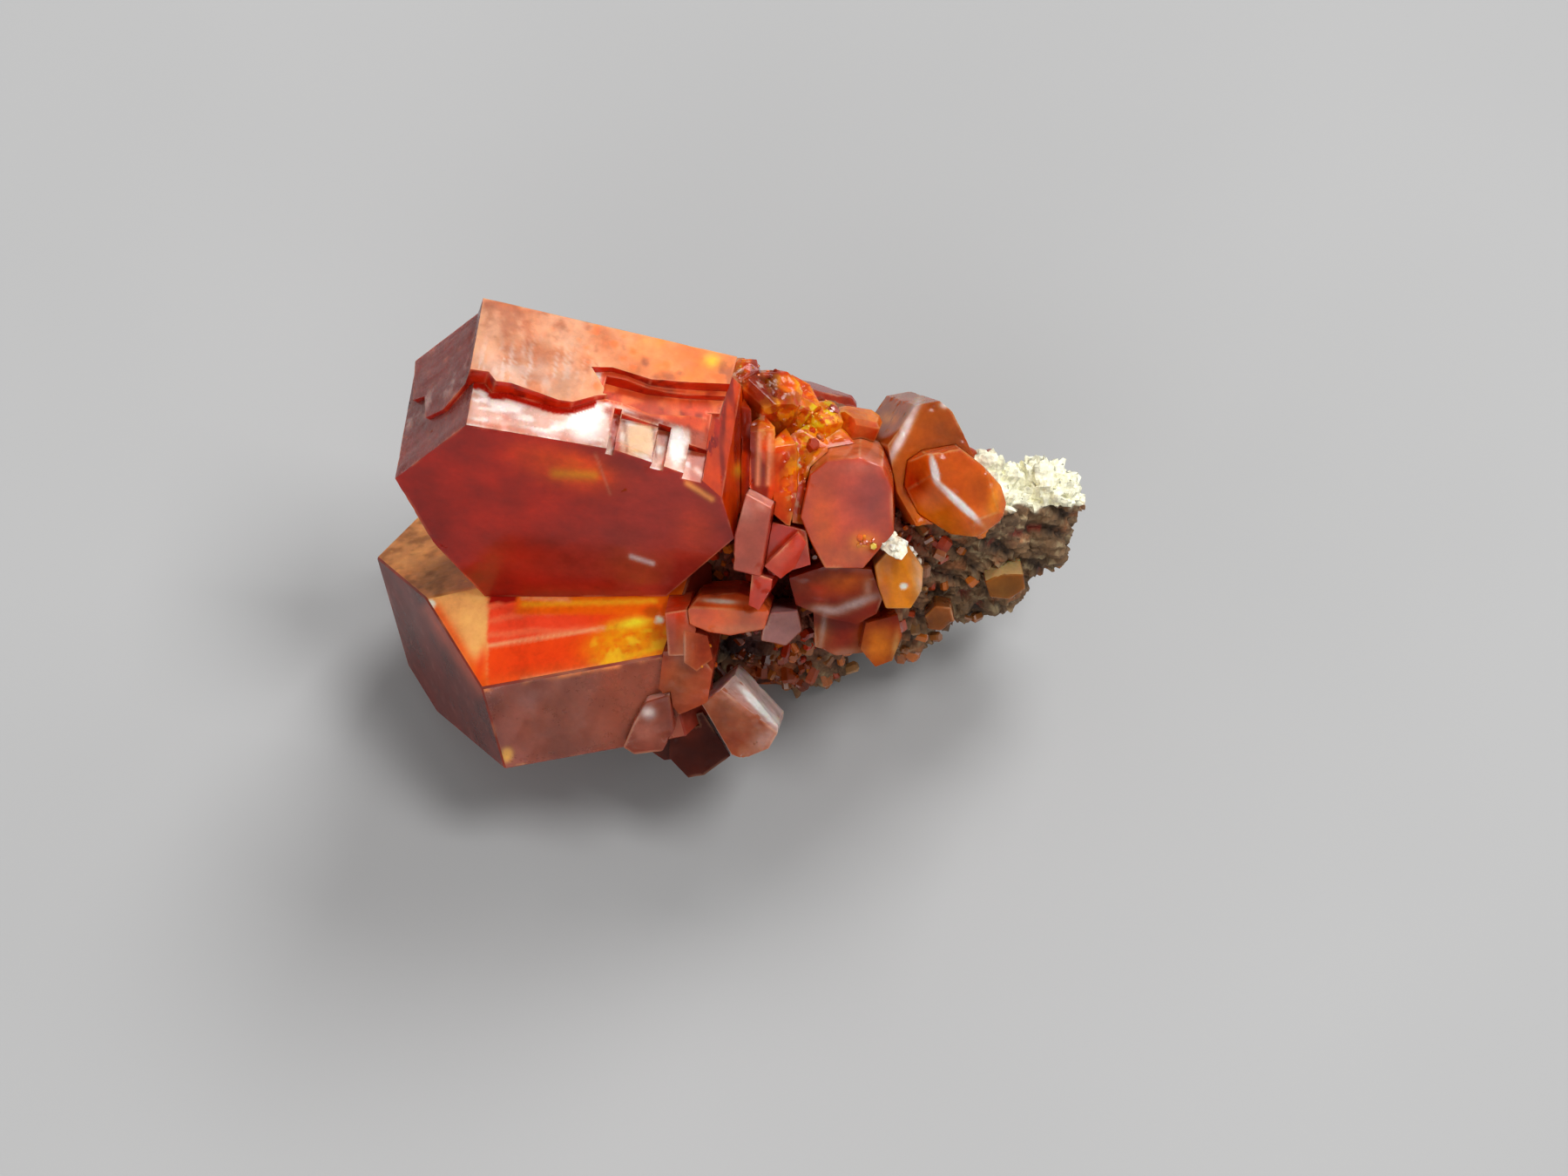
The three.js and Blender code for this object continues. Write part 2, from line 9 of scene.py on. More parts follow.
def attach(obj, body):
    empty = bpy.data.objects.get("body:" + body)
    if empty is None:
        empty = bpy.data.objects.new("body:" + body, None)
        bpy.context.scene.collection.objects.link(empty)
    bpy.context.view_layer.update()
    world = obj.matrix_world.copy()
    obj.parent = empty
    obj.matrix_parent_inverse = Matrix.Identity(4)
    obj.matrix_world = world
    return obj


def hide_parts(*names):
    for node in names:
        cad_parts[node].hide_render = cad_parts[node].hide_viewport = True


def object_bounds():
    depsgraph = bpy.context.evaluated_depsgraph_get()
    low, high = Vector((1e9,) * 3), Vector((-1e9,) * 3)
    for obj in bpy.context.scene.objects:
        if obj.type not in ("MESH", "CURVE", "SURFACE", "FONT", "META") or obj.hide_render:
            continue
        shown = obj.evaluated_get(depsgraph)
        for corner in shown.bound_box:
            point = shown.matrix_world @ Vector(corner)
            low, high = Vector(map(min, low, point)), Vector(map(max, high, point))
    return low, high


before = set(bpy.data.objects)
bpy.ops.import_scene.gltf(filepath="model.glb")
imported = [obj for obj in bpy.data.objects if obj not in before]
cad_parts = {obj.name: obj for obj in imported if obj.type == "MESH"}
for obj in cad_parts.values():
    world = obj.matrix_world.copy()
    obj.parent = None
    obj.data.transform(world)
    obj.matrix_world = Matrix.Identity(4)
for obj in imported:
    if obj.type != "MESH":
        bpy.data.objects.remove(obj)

CAD_BOX = [list(map(float, c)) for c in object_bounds()]
BOX_LO, BOX_HI = np.array(CAD_BOX[0]) * 1000, np.array(CAD_BOX[1]) * 1000

# ------------------------------------------------------------ the part's frame
# Lengths below are in millimetres or in the part's own drawing units (0.02 mm).
U = 0.02
SHEET_X, SHEET_Y, SHEET_FLOOR = 837.34, -495.77, 640.0
ST, CT = math.sin(math.radians(60)), 0.5


def S(x, y, z):
    """Drawing units (x right, y down, z toward the viewer) to millimetres."""
    return np.array([(x - SHEET_X) * U, (-y * ST - z * CT - SHEET_Y) * U, (-y * CT + z * ST + SHEET_FLOOR) * U])


def D(x, up, z):
    return np.array([x, up * ST - z * CT, up * CT + z * ST], dtype=float)


def unit(v):
    return v / np.linalg.norm(v)


def sheet(P):
    """Millimetre points to drawing x, y, z."""
    a, b = P[:, 1] / U + SHEET_Y, P[:, 2] / U - SHEET_FLOOR
    return P[:, 0] / U + SHEET_X, -(ST * a + CT * b), -CT * a + ST * b


def lin(r, g, b):
    c = np.array([r, g, b], dtype=float) / 255.0
    return np.where(c <= 0.04045, c / 12.92, ((c + 0.055) / 1.055) ** 2.4)


# ------------------------------------------------------------------- noises
def _hash(ix, iy, iz, seed):
    h = (ix * 374761393 + iy * 668265263 + iz * 1440662683 + seed * 1274126177) & 0xFFFFFFFF
    h = ((h ^ (h >> 13)) * 1274126177) & 0xFFFFFFFF
    h = ((h ^ (h >> 16)) * 2246822519) & 0xFFFFFFFF
    h = h ^ (h >> 15)
    return (h & 0xFFFFFF) / float(0xFFFFFF)


def noise(P, scale=1.0, seed=0):
    Q = np.asarray(P) * scale
    I = np.floor(Q).astype(np.int64)
    F = Q - I
    F = F * F * (3 - 2 * F)
    out = np.zeros(len(Q))
    for dx in (0, 1):
        wx = F[:, 0] if dx else 1 - F[:, 0]
        for dy in (0, 1):
            wy = F[:, 1] if dy else 1 - F[:, 1]
            for dz in (0, 1):
                wz = F[:, 2] if dz else 1 - F[:, 2]
                out += wx * wy * wz * _hash(I[:, 0] + dx, I[:, 1] + dy, I[:, 2] + dz, seed)
    return out * 2 - 1


def fbm(P, scale=1.0, octaves=4, seed=0, gain=0.5):
    out, a, tot = 0.0, 1.0, 0.0
    for k in range(octaves):
        out = out + a * noise(P, scale * 2.03 ** k, seed + 17 * k)
        tot += a
        a *= gain
    return out / tot


def cells(P, scale=1.0, seed=0):
    """Nearest and second nearest random point, and that point's own number."""
    Q = np.asarray(P) * scale
    I = np.floor(Q).astype(np.int64)
    d1 = np.full(len(Q), 9.0)
    d2 = np.full(len(Q), 9.0)
    who = np.zeros(len(Q))
    for dx in (-1, 0, 1):
        for dy in (-1, 0, 1):
            for dz in (-1, 0, 1):
                a, b, c = I[:, 0] + dx, I[:, 1] + dy, I[:, 2] + dz
                fx, fy, fz = a + _hash(a, b, c, seed), b + _hash(a, b, c, seed + 1), c + _hash(a, b, c, seed + 2)
                d = np.sqrt((Q[:, 0] - fx) ** 2 + (Q[:, 1] - fy) ** 2 + (Q[:, 2] - fz) ** 2)
                near = d < d1
                d2 = np.where(near, d1, np.minimum(d2, d))
                who = np.where(near, _hash(a, b, c, seed + 3), who)
                d1 = np.where(near, d, d1)
    return d1, d2, who


def smooth(x, a, b):
    t = np.clip((x - a) / (b - a), 0, 1)
    return t * t * (3 - 2 * t)


# ------------------------------------------------------------------ materials
def node_group_material(name):
    m = bpy.data.materials.new(name)
    m.use_nodes = True
    nt = m.node_tree
    return m, nt, nt.nodes["Principled BSDF"], nt.nodes["Material Output"]


def crystal_material(name, absorb=(0.95, 0.16, 0.02), density=700.0, ior=2.3, fine=1.0, bump=0.12,
                     clear=True, sss=0.0, spec=0.28):
    """Vanadinite: colour, clearness and polish come from the mesh's own col,
    rough and trans layers, broken up by noise in the object's space."""
    m, nt, p, out = node_group_material(name)
    N, L = nt.nodes, nt.links
    tc = N.new("ShaderNodeTexCoord")
    col = N.new("ShaderNodeAttribute"); col.attribute_name = "col"
    rgh = N.new("ShaderNodeAttribute"); rgh.attribute_name = "rough"
    trn = N.new("ShaderNodeAttribute"); trn.attribute_name = "trans"
    # cloudy patches
    n1 = N.new("ShaderNodeTexNoise"); n1.inputs["Scale"].default_value = 900.0 * fine
    n1.inputs["Detail"].default_value = 4.0; n1.inputs["Roughness"].default_value = 0.52
    L.new(tc.outputs["Object"], n1.inputs["Vector"])
    r1 = N.new("ShaderNodeMapRange")
    r1.inputs["From Min"].default_value = 0.3; r1.inputs["From Max"].default_value = 0.7
    r1.inputs["To Min"].default_value = 0.72; r1.inputs["To Max"].default_value = 1.22
    L.new(n1.outputs["Fac"], r1.inputs["Value"])
    # fine silky grain, finer than the cloud
    n2 = N.new("ShaderNodeTexNoise"); n2.inputs["Scale"].default_value = 6500.0 * fine
    n2.inputs["Detail"].default_value = 4.0; n2.inputs["Roughness"].default_value = 0.7
    L.new(tc.outputs["Object"], n2.inputs["Vector"])
    r2 = N.new("ShaderNodeMapRange")
    r2.inputs["From Min"].default_value = 0.3; r2.inputs["From Max"].default_value = 0.7
    r2.inputs["To Min"].default_value = 0.9; r2.inputs["To Max"].default_value = 1.1
    L.new(n2.outputs["Fac"], r2.inputs["Value"])
    mu = N.new("ShaderNodeMath"); mu.operation = "MULTIPLY"
    L.new(r1.outputs["Result"], mu.inputs[0]); L.new(r2.outputs["Result"], mu.inputs[1])
    hv = N.new("ShaderNodeVectorMath"); hv.operation = "SCALE"
    L.new(col.outputs["Color"], hv.inputs[0]); L.new(mu.outputs["Value"], hv.inputs["Scale"])
    L.new(hv.outputs["Vector"], p.inputs["Base Color"])
    # roughness
    ra = N.new("ShaderNodeMath"); ra.operation = "MULTIPLY_ADD"; ra.use_clamp = True
    L.new(n2.outputs["Fac"], ra.inputs[0]); ra.inputs[1].default_value = 0.10
    L.new(rgh.outputs["Fac"], ra.inputs[2])
    L.new(ra.outputs["Value"], p.inputs["Roughness"])
    # clearness: cloudy patches let less light through
    tm = N.new("ShaderNodeMapRange")
    tm.inputs["From Min"].default_value = 0.35; tm.inputs["From Max"].default_value = 0.65
    tm.inputs["To Min"].default_value = 1.08; tm.inputs["To Max"].default_value = 0.86
    L.new(n1.outputs["Fac"], tm.inputs["Value"])
    tt = N.new("ShaderNodeMath"); tt.operation = "MULTIPLY"; tt.use_clamp = True
    L.new(trn.outputs["Fac"], tt.inputs[0]); L.new(tm.outputs["Result"], tt.inputs[1])
    if clear:
        L.new(tt.outputs["Value"], p.inputs["Transmission Weight"])
    p.inputs["IOR"].default_value = ior
    p.inputs["Specular IOR Level"].default_value = spec
    if sss:
        p.inputs["Subsurface Weight"].default_value = sss
        p.inputs["Subsurface Radius"].default_value = (1.0, 0.3, 0.12)
        p.inputs["Subsurface Scale"].default_value = 0.0006
    # tiny pits and growth ripples
    bp = N.new("ShaderNodeBump"); bp.inputs["Strength"].default_value = bump
    bp.inputs["Distance"].default_value = 0.00002
    L.new(n2.outputs["Fac"], bp.inputs["Height"])
    L.new(bp.outputs["Normal"], p.inputs["Normal"])
    if clear:
        va = N.new("ShaderNodeVolumeAbsorption")
        va.inputs["Color"].default_value = (*absorb, 1.0)
        va.inputs["Density"].default_value = density
        L.new(va.outputs["Volume"], out.inputs["Volume"])
    return m


def rock_material(name):
    m, nt, p, out = node_group_material(name)
    N, L = nt.nodes, nt.links
    tc = N.new("ShaderNodeTexCoord")
    col = N.new("ShaderNodeAttribute"); col.attribute_name = "col"
    n1 = N.new("ShaderNodeTexNoise"); n1.inputs["Scale"].default_value = 2600.0
    n1.inputs["Detail"].default_value = 8.0; n1.inputs["Roughness"].default_value = 0.72
    L.new(tc.outputs["Object"], n1.inputs["Vector"])
    r1 = N.new("ShaderNodeMapRange")
    r1.inputs["From Min"].default_value = 0.3; r1.inputs["From Max"].default_value = 0.7
    r1.inputs["To Min"].default_value = 0.6; r1.inputs["To Max"].default_value = 1.3
    L.new(n1.outputs["Fac"], r1.inputs["Value"])
    vo = N.new("ShaderNodeTexVoronoi"); vo.inputs["Scale"].default_value = 9000.0
    L.new(tc.outputs["Object"], vo.inputs["Vector"])
    r2 = N.new("ShaderNodeMapRange")
    r2.inputs["From Min"].default_value = 0.0; r2.inputs["From Max"].default_value = 0.8
    r2.inputs["To Min"].default_value = 1.12; r2.inputs["To Max"].default_value = 0.82
    L.new(vo.outputs["Distance"], r2.inputs["Value"])
    mu = N.new("ShaderNodeMath"); mu.operation = "MULTIPLY"
    L.new(r1.outputs["Result"], mu.inputs[0]); L.new(r2.outputs["Result"], mu.inputs[1])
    hv = N.new("ShaderNodeVectorMath"); hv.operation = "SCALE"
    L.new(col.outputs["Color"], hv.inputs[0]); L.new(mu.outputs["Value"], hv.inputs["Scale"])
    L.new(hv.outputs["Vector"], p.inputs["Base Color"])
    rr = N.new("ShaderNodeMapRange")
    rr.inputs["To Min"].default_value = 0.62; rr.inputs["To Max"].default_value = 0.92
    L.new(n1.outputs["Fac"], rr.inputs["Value"]); L.new(rr.outputs["Result"], p.inputs["Roughness"])
    bp = N.new("ShaderNodeBump"); bp.inputs["Strength"].default_value = 0.55
    bp.inputs["Distance"].default_value = 0.00006
    ad = N.new("ShaderNodeMath"); ad.operation = "ADD"
    L.new(n1.outputs["Fac"], ad.inputs[0]); L.new(vo.outputs["Distance"], ad.inputs[1])
    L.new(ad.outputs["Value"], bp.inputs["Height"]); L.new(bp.outputs["Normal"], p.inputs["Normal"])
    return m


# ---------------------------------------------------------------- mesh helpers
def smooth_by_angle(me, degrees):
    """Smooth shading, with edges over the angle kept sharp."""
    me.shade_smooth()
    bm = bmesh.new(); bm.from_mesh(me)
    lim = math.radians(degrees)
    for e in bm.edges:
        if len(e.link_faces) == 2 and e.calc_face_angle(0.0) > lim:
            e.smooth = False
    bm.to_mesh(me); bm.free()


def put_layers(me, col, rough, trans, gain=(1, 1, 1)):
    """Per-corner colour, roughness and clearness."""
    n = len(me.loops)
    col = np.asarray(col)
    sat = 1 - col.min(axis=1) / np.maximum(col.max(axis=1), 1e-6)
    col = col * (1 + (np.asarray(gain)[None, :] - 1) * smooth(sat, 0.45, 0.85)[:, None])
    ca = me.color_attributes.new("col", "FLOAT_COLOR", "CORNER")
    c4 = np.ones((n, 4), dtype=np.float32); c4[:, :3] = np.clip(col, 0, 1)
    ca.data.foreach_set("color", c4.ravel())
    for key, val in (("rough", rough), ("trans", trans)):
        a = me.attributes.new(key, "FLOAT", "CORNER")
        a.data.foreach_set("value", np.broadcast_to(np.asarray(val, dtype=np.float32), (n,)).copy())


def corner_arrays(me):
    nv, nl = len(me.vertices), len(me.loops)
    V = np.empty(nv * 3); me.vertices.foreach_get("co", V); V = V.reshape(-1, 3)
    vi = np.empty(nl, dtype=np.int64); me.loops.foreach_get("vertex_index", vi)
    nf = len(me.polygons)
    ls = np.empty(nf, dtype=np.int64); me.polygons.foreach_get("loop_start", ls)
    lt = np.empty(nf, dtype=np.int64); me.polygons.foreach_get("loop_total", lt)
    fn = np.empty(nf * 3); me.polygons.foreach_get("normal", fn); fn = fn.reshape(-1, 3)
    fid = np.repeat(np.arange(nf), lt)
    return V, vi, fid, fn


def edge_distance(P, segs):
    out = np.full(len(P), 99.0)
    for a, b in segs:
        d = b - a
        k = np.clip(((P - a) @ d) / max(d @ d, 1e-9), 0, 1)
        out = np.minimum(out, np.linalg.norm(P - a - k[:, None] * d, axis=1))
    return out


def cad_bmesh(node):
    """The node's mesh in millimetres, welded, with flat faces made whole."""
    bm = bmesh.new()
    bm.from_mesh(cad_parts[node].data)
    bmesh.ops.scale(bm, vec=(1000, 1000, 1000), verts=bm.verts)
    bmesh.ops.remove_doubles(bm, verts=bm.verts, dist=2e-4)
    bmesh.ops.dissolve_limit(bm, angle_limit=math.radians(1.0), verts=bm.verts, edges=bm.edges)
    return bm


def refine(bm, length, where=None, coarse=None):
    for _ in range(9):
        bmesh.ops.triangulate(bm, faces=bm.faces[:])
        long = []
        for e in bm.edges:
            lim = length
            if where is not None and not where(e):
                lim = coarse
            if e.calc_length() > lim:
                long.append(e)
        if not long:
            break
        bmesh.ops.subdivide_edges(bm, edges=long, cuts=1)
    bmesh.ops.triangulate(bm, faces=bm.faces[:])


TOWARD = D(0, 0, 1)


def facing(e):
    """True on the side that carries the finest relief."""
    return any(f.normal.dot(Vector(TOWARD)) > -0.15 for f in e.link_faces)


def grown_crystal(node, relief, paint, material, length=0.085, bevel=0.03, chips=0.05, chip_scale=2.4, seed=1,
                  round_edges=0.0, name=None, gain=(1.35, 0.95, 0.6)):
    """A crystal that stands for a CAD node: the same faces, with bevelled and
    chipped edges, growth relief on the faces and colour by zone."""
    bm = cad_bmesh(node)
    sharp = [e for e in bm.edges if len(e.link_faces) == 2 and e.calc_face_angle(0.0) > math.radians(12)]
    segs = [(np.array(e.verts[0].co), np.array(e.verts[1].co)) for e in sharp]
    if bevel:
        try:
            bmesh.ops.bevel(bm, geom=sharp, offset=bevel, offset_type="OFFSET", segments=2 if round_edges else 1,
                            profile=0.5, affect="EDGES", clamp_overlap=True)
        except Exception:
            pass
    refine(bm, length, facing, max(length * 2.6, 0.2))
    bm.normal_update()
    bm.verts.ensure_lookup_table()
    P = np.array([v.co for v in bm.verts])
    Nn = np.array([v.normal for v in bm.verts])
    dist = edge_distance(P, segs)
    fade = smooth(dist, 0.05, 0.22)
    lift = relief(P, Nn, dist) * fade
    if chips:
        c1, c2, who = cells(P, chip_scale, seed)
        pick = smooth(who, 0.55, 0.75) * smooth(0.5 - c1, 0.0, 0.35)
        nn = noise(P, 6.0, seed + 5) * 0.5 + 0.5
        lift -= chips * pick * smooth(0.24 - dist, 0.0, 0.2) * (0.4 + 0.9 * nn)
        lift -= chips * 0.22 * smooth(0.10 - dist, 0.0, 0.1) * (noise(P, 9.0, seed + 9) * 0.5 + 0.5)
    Q = P + Nn * (lift + 0.012)[:, None]
    Q = np.minimum(np.maximum(Q, BOX_LO), BOX_HI + 0.01)
    for v, q in zip(bm.verts, Q):
        v.co = q
    me = bpy.data.meshes.new(name or node + "_look")
    bm.to_mesh(me); bm.free()
    V, vi, fid, fn = corner_arrays(me)
    dist_c = dist[vi] if len(dist) == len(V) else edge_distance(V, segs)[vi]
    col, rough, trans = paint(V[vi], fn[fid], dist_c)
    put_layers(me, col, rough, trans, gain)
    me.transform(Matrix.Scale(0.001, 4))
    smooth_by_angle(me, 24)
    ob = bpy.data.objects.new(name or node + "_look", me)
    bpy.context.scene.collection.objects.link(ob)
    me.materials.append(material)
    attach(ob, "root")
    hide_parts(node)
    return ob


def blob(x, y, cx, cy, rx, ry, angle=0.0, power=2.0):
    """Soft patch in the drawing's own x and y."""
    a = math.radians(angle)
    u = (x - cx) * math.cos(a) + (y - cy) * math.sin(a)
    v = -(x - cx) * math.sin(a) + (y - cy) * math.cos(a)
    return np.exp(-np.power((u / rx) ** 2 + (v / ry) ** 2, power / 2))


def streak(x, y, x0, y0, x1, y1, width):
    d = np.array([x1 - x0, y1 - y0], dtype=float)
    k = np.clip(((x - x0) * d[0] + (y - y0) * d[1]) / (d @ d), 0, 1)
    r = np.hypot(x - x0 - k * d[0], y - y0 - k * d[1])
    return np.exp(-(r / width) ** 2)


def mixc(col, target, w):
    w = np.clip(w, 0, 1)[:, None]
    return col * (1 - w) + np.asarray(target)[None, :] * w


def start(P, colour):
    return np.tile(np.asarray(colour, dtype=float), (len(P), 1))


# --------------------------------------------------------- the two large ones
FRONT_N = D(-0.14, -0.825, 0.547)
C_BACK = -FRONT_N
TOP_EDGE = unit(D(265, -61, -24))
TOP_N = unit(np.cross(TOP_EDGE, C_BACK))
TOP_O = S(540, 490, 251)
LEFT_EDGE = unit(D(83, 60, 112))
LEFT_N = unit(np.cross(LEFT_EDGE, C_BACK))
if LEFT_N[0] > 0:
    LEFT_N = -LEFT_N
LC = unit(D(-0.238, 0.851, 0.468))
LN2 = unit(D(-0.8717, -0.3997, 0.2835))
LN4 = unit(D(-0.066, -0.495, 0.866))
LN3 = unit(LC * math.cos(math.radians(39.4)) + LN4 * math.sin(math.radians(39.4)))
LN1 = unit(D(-0.265, 0.835, 0.482))


def terraces(P, axis_a, axis_b, scale, height, seed, squash=2.2):
    """Low plateaus, longer along axis_a than axis_b."""
    a, b = P @ axis_a, P @ axis_b
    Q = np.stack([a / squash, b, P @ np.cross(axis_a, axis_b) * 0.15], axis=1)
    n = fbm(Q, scale, 3, seed)
    q = n * 3.5
    f = q - np.floor(q)
    return height * (np.floor(q) + smooth(f, 0.42, 0.58)) / 3.5


def upper_relief(P, Nn, dist):
    top = smooth(Nn @ TOP_N, 0.9, 0.97)
    front = smooth(Nn @ FRONT_N, 0.93, 0.98)
    left = smooth(Nn @ LEFT_N, 0.9, 0.97)
    low = ((P - TOP_O) @ TOP_N) / U < 19
    r = top * np.where(low, 0.2, 1.0) * (terraces(P, TOP_EDGE, C_BACK, 2.2, 0.014, 3) + 0.004 * fbm(P, 7.0, 2, 4))
    # fine lines across the prism faces, parallel to the basal edge
    t = P @ C_BACK
    lines = np.sin(t * 52 + 3 * noise(P, 0.8, 8)) * 0.5 + noise(np.stack([t * 11, P @ TOP_EDGE * 0.3, t * 0], axis=1), 1.0, 12)
    r += (top * 0.3 + left) * 0.0045 * lines
    r += left * terraces(P, LEFT_EDGE, C_BACK, 2.4, 0.03, 13)
    r += front * (0.010 * terraces(P, TOP_EDGE, TOP_N, 0.9, 1.0, 21, 1.4) + 0.0016 * fbm(P, 5.0, 2, 6))
    rest = np.clip(1 - top - front - left, 0, 1)
    r += rest * 0.02 * fbm(P, 1.6, 3, 9)
    return r


def upper_paint(P, N, dist):
    x, y, z = sheet(P)
    rel = (P - TOP_O) / U
    s, t, h = rel @ TOP_EDGE, rel @ C_BACK, rel @ TOP_N
    nf = fbm(P, 1.4, 4, 31)
    n2 = fbm(P, 4.5, 3, 37)
    top, front, left = N @ TOP_N > 0.9, N @ FRONT_N > 0.9, N @ LEFT_N > 0.9
    col = start(P, lin(150, 46, 30))
    rough = np.full(len(P), 0.16)
    trans = np.full(len(P), 0.5)
    # front basal face: deep red, more purple to the right, orange glow above
    c = start(P, lin(150, 26, 12))
    c = mixc(c, lin(148, 52, 52), smooth(x + 0.5 * (y - 560), 600, 740) * 0.8)
    c = mixc(c, lin(160, 42, 30), blob(x, y, 560, 640, 60, 40) * 0.7)
    c = mixc(c, lin(150, 60, 62), blob(x, y, 660, 620, 90, 40, 10) * 0.4)
    c = mixc(c, lin(190, 44, 14), blob(x, y, 600, 560, 100, 50, 8) * 0.8)
    # painted glow: a bright orange patch and streaks stand for light shining through the crystal
    c = mixc(c, lin(255, 104, 2), blob(x, y, 655, 538, 44, 17, 14) * (1.0 + 0.5 * n2))
    c = mixc(c, lin(214, 70, 10), streak(x, y, 600, 520, 690, 550, 14) * 0.5)
    c = mixc(c, lin(255, 150, 20), streak(x, y, 640, 545, 684, 547, 6) * 0.95)
    c = mixc(c, lin(196, 70, 40), blob(x, y, 800, 610, 22, 26) * 0.7)
    c = mixc(c, lin(160, 30, 18), streak(x, y, 560, 668, 700, 672, 9) * 0.6)
    # painted highlights: pale and yellowish streaks on the face's lower part and edge
    c = mixc(c, lin(225, 190, 190), streak(x, y, 725, 639, 750, 647, 2.6) * 0.95)
    c = mixc(c, lin(205, 130, 110), streak(x, y, 686, 522, 702, 568, 1.6) * 0.6)
    c = mixc(c, lin(250, 190, 120), streak(x, y, 790, 556, 818, 574, 3) * 0.8)
    col = np.where(front[:, None], c, col)
    trans = np.where(front, 0.36 - 0.2 * smooth(x, 600, 760) - 0.2 * blob(x, y, 655, 538, 50, 22, 14), trans)
    rough = np.where(front, 0.13 + 0.04 * nf, rough)
    # left strip
    c = mixc(start(P, lin(134, 74, 78)), lin(190, 120, 112), smooth(n2, 0.1, 0.6) * 0.5)
    c = mixc(c, lin(235, 190, 180), smooth(h * 0 + np.abs(t - 74), 26, 0) * smooth(n2, 0.0, 0.3) * 0.5)
    col = np.where(left[:, None], c, col)
    rough = np.where(left, 0.22, rough)
    trans = np.where(left, 0.25, trans)
    # top: the low front ledge is polished, the high rear part mottled; the ledge's pale pink colour is partly painted
    # sheen, and its white spots and pale streaks are painted highlights
    ledge = np.interp(s, [0, 168, 272], [0, 18, 0])
    edge_t = np.interp(s, [-9, 12, 22, 40, 96, 112, 138, 150, 152, 196, 240, 285],
                       [58, 60, 50, 52, 44, 46, 62, 66, 103, 100, 108, 118])
    high = top & (h > 21) & (t > 40)
    low = top & ~high
    cm = mixc(start(P, lin(210, 160, 132)), lin(178, 116, 86), smooth(nf, -0.1, 0.45))
    cm = mixc(cm, lin(228, 140, 78), smooth(x, 650, 790) * (0.8 + 0.3 * n2))
    cm = mixc(cm, lin(150, 92, 70), smooth(fbm(P, 2.6, 4, 43), 0.05, 0.45) * smooth(445 - y + 0.23 * (x - 560), 0, 60) * 0.75)
    cm = mixc(cm, lin(226, 186, 168), blob(x, y, 590, 428, 46, 20) * smooth(n2, -0.4, 0.2) * 0.7)
    grain = noise(np.stack([s * 0.35, t * 0.05, h * 0], axis=1), 1.0, 61)
    cm = mixc(cm, lin(236, 200, 182), smooth(grain, 0.1, 0.6) * blob(x, y, 600, 425, 70, 26) * 0.75)
    cm = mixc(cm, lin(236, 128, 60), smooth(noise(P, 5.0, 41), 0.45, 0.75) * smooth(x, 600, 760) * 0.8)
    # a painted glint (yellow dot) and a painted highlight (pale streak) near the top's right end
    cm = mixc(cm, lin(255, 206, 60), blob(x, y, 818, 416, 9, 7) * 1.0)
    cm = mixc(cm, lin(250, 224, 206), streak(x, y, 796, 450, 816, 454, 2.6))
    col = np.where(high[:, None], cm, col)
    rough = np.where(high, 0.5 + 0.1 * n2, rough)
    trans = np.where(high, 0.12, trans)
    cl = mixc(start(P, lin(208, 162, 146)), lin(186, 128, 118), smooth(nf, -0.1, 0.45))
    # painted sheen: pale streaks across the ledge
    cl = mixc(cl, lin(244, 226, 216), smooth(noise(np.stack([s * 0.06, t * 0.2, h * 0], axis=1), 1.0, 67), 0.0, 0.5) * 0.8)
    cl = mixc(cl, lin(190, 120, 110), streak(x, y, 540, 486, 690, 512, 3.0) * 0.7)
    # painted highlight: a white spot on the ledge
    cl = mixc(cl, lin(255, 244, 236), blob(x, y, 676, 482, 20, 26, 0, 4))
    cl = mixc(cl, lin(150, 50, 30), blob(x, y, 708, 497, 6, 32, -4, 8))
    cl = mixc(cl, lin(214, 178, 136), blob(x, y, 736, 506, 20, 20, 8, 6))
    cl = mixc(cl, lin(120, 66, 44), streak(x, y, 719, 486, 722, 522, 1.8) * 0.8)
    cl = mixc(cl, lin(120, 66, 44), streak(x, y, 752, 492, 755, 530, 2.2) * 0.9)
    cl = mixc(cl, lin(140, 70, 52), blob(x, y, 763, 500, 8, 16, 0, 6))
    # painted highlight: a white spot on the ledge
    cl = mixc(cl, lin(255, 242, 234), blob(x, y, 779, 514, 9, 22, 0, 6))
    cl = mixc(cl, lin(150, 74, 56), smooth(x, 790, 796))
    # painted highlight: a pale streak along the ledge's edge
    cl = mixc(cl, lin(236, 190, 176), streak(x, y, 800, 540, 822, 560, 3) * 0.8)
    # painted shade: a dark red band on the ledge just in front of the step
    cl = mixc(cl, lin(150, 22, 6), smooth(8.5 - np.abs(t - edge_t + 3), 0, 2.5) * (s < 140))
    recess = smooth(t, 58, 63) * smooth(s, 138, 143)
    cr = mixc(start(P, lin(186, 72, 30)), lin(140, 50, 30), smooth(n2, 0, 0.5))
    cr = mixc(cr, lin(226, 130, 80), smooth(noise(P, 3.4, 63), 0.25, 0.6) * 0.7)
    cl = mixc(cl, lin(120, 30, 16), streak(x, y, 700, 474, 800, 492, 5) * 0.9)
    cl = cl * (1 - recess[:, None]) + cr * recess[:, None]
    col = np.where(low[:, None], cl, col)
    rough = np.where(low, 0.22 + 0.05 * n2 + 0.2 * recess, rough)
    trans = np.where(low, 0.1, trans)
    # riser of the step: clear, saturated red
    riser = (N @ TOP_N > -0.5) & (N @ TOP_N < 0.75) & (t > 36) & (h > -12) & (h < 30) & (~left) & (s > -6) & (t < 140)
    cs = mixc(start(P, lin(202, 50, 12)), lin(140, 26, 10), smooth(n2, 0.0, 0.5))
    col = np.where(riser[:, None], cs, col)
    trans = np.where(riser, 0.5, trans)
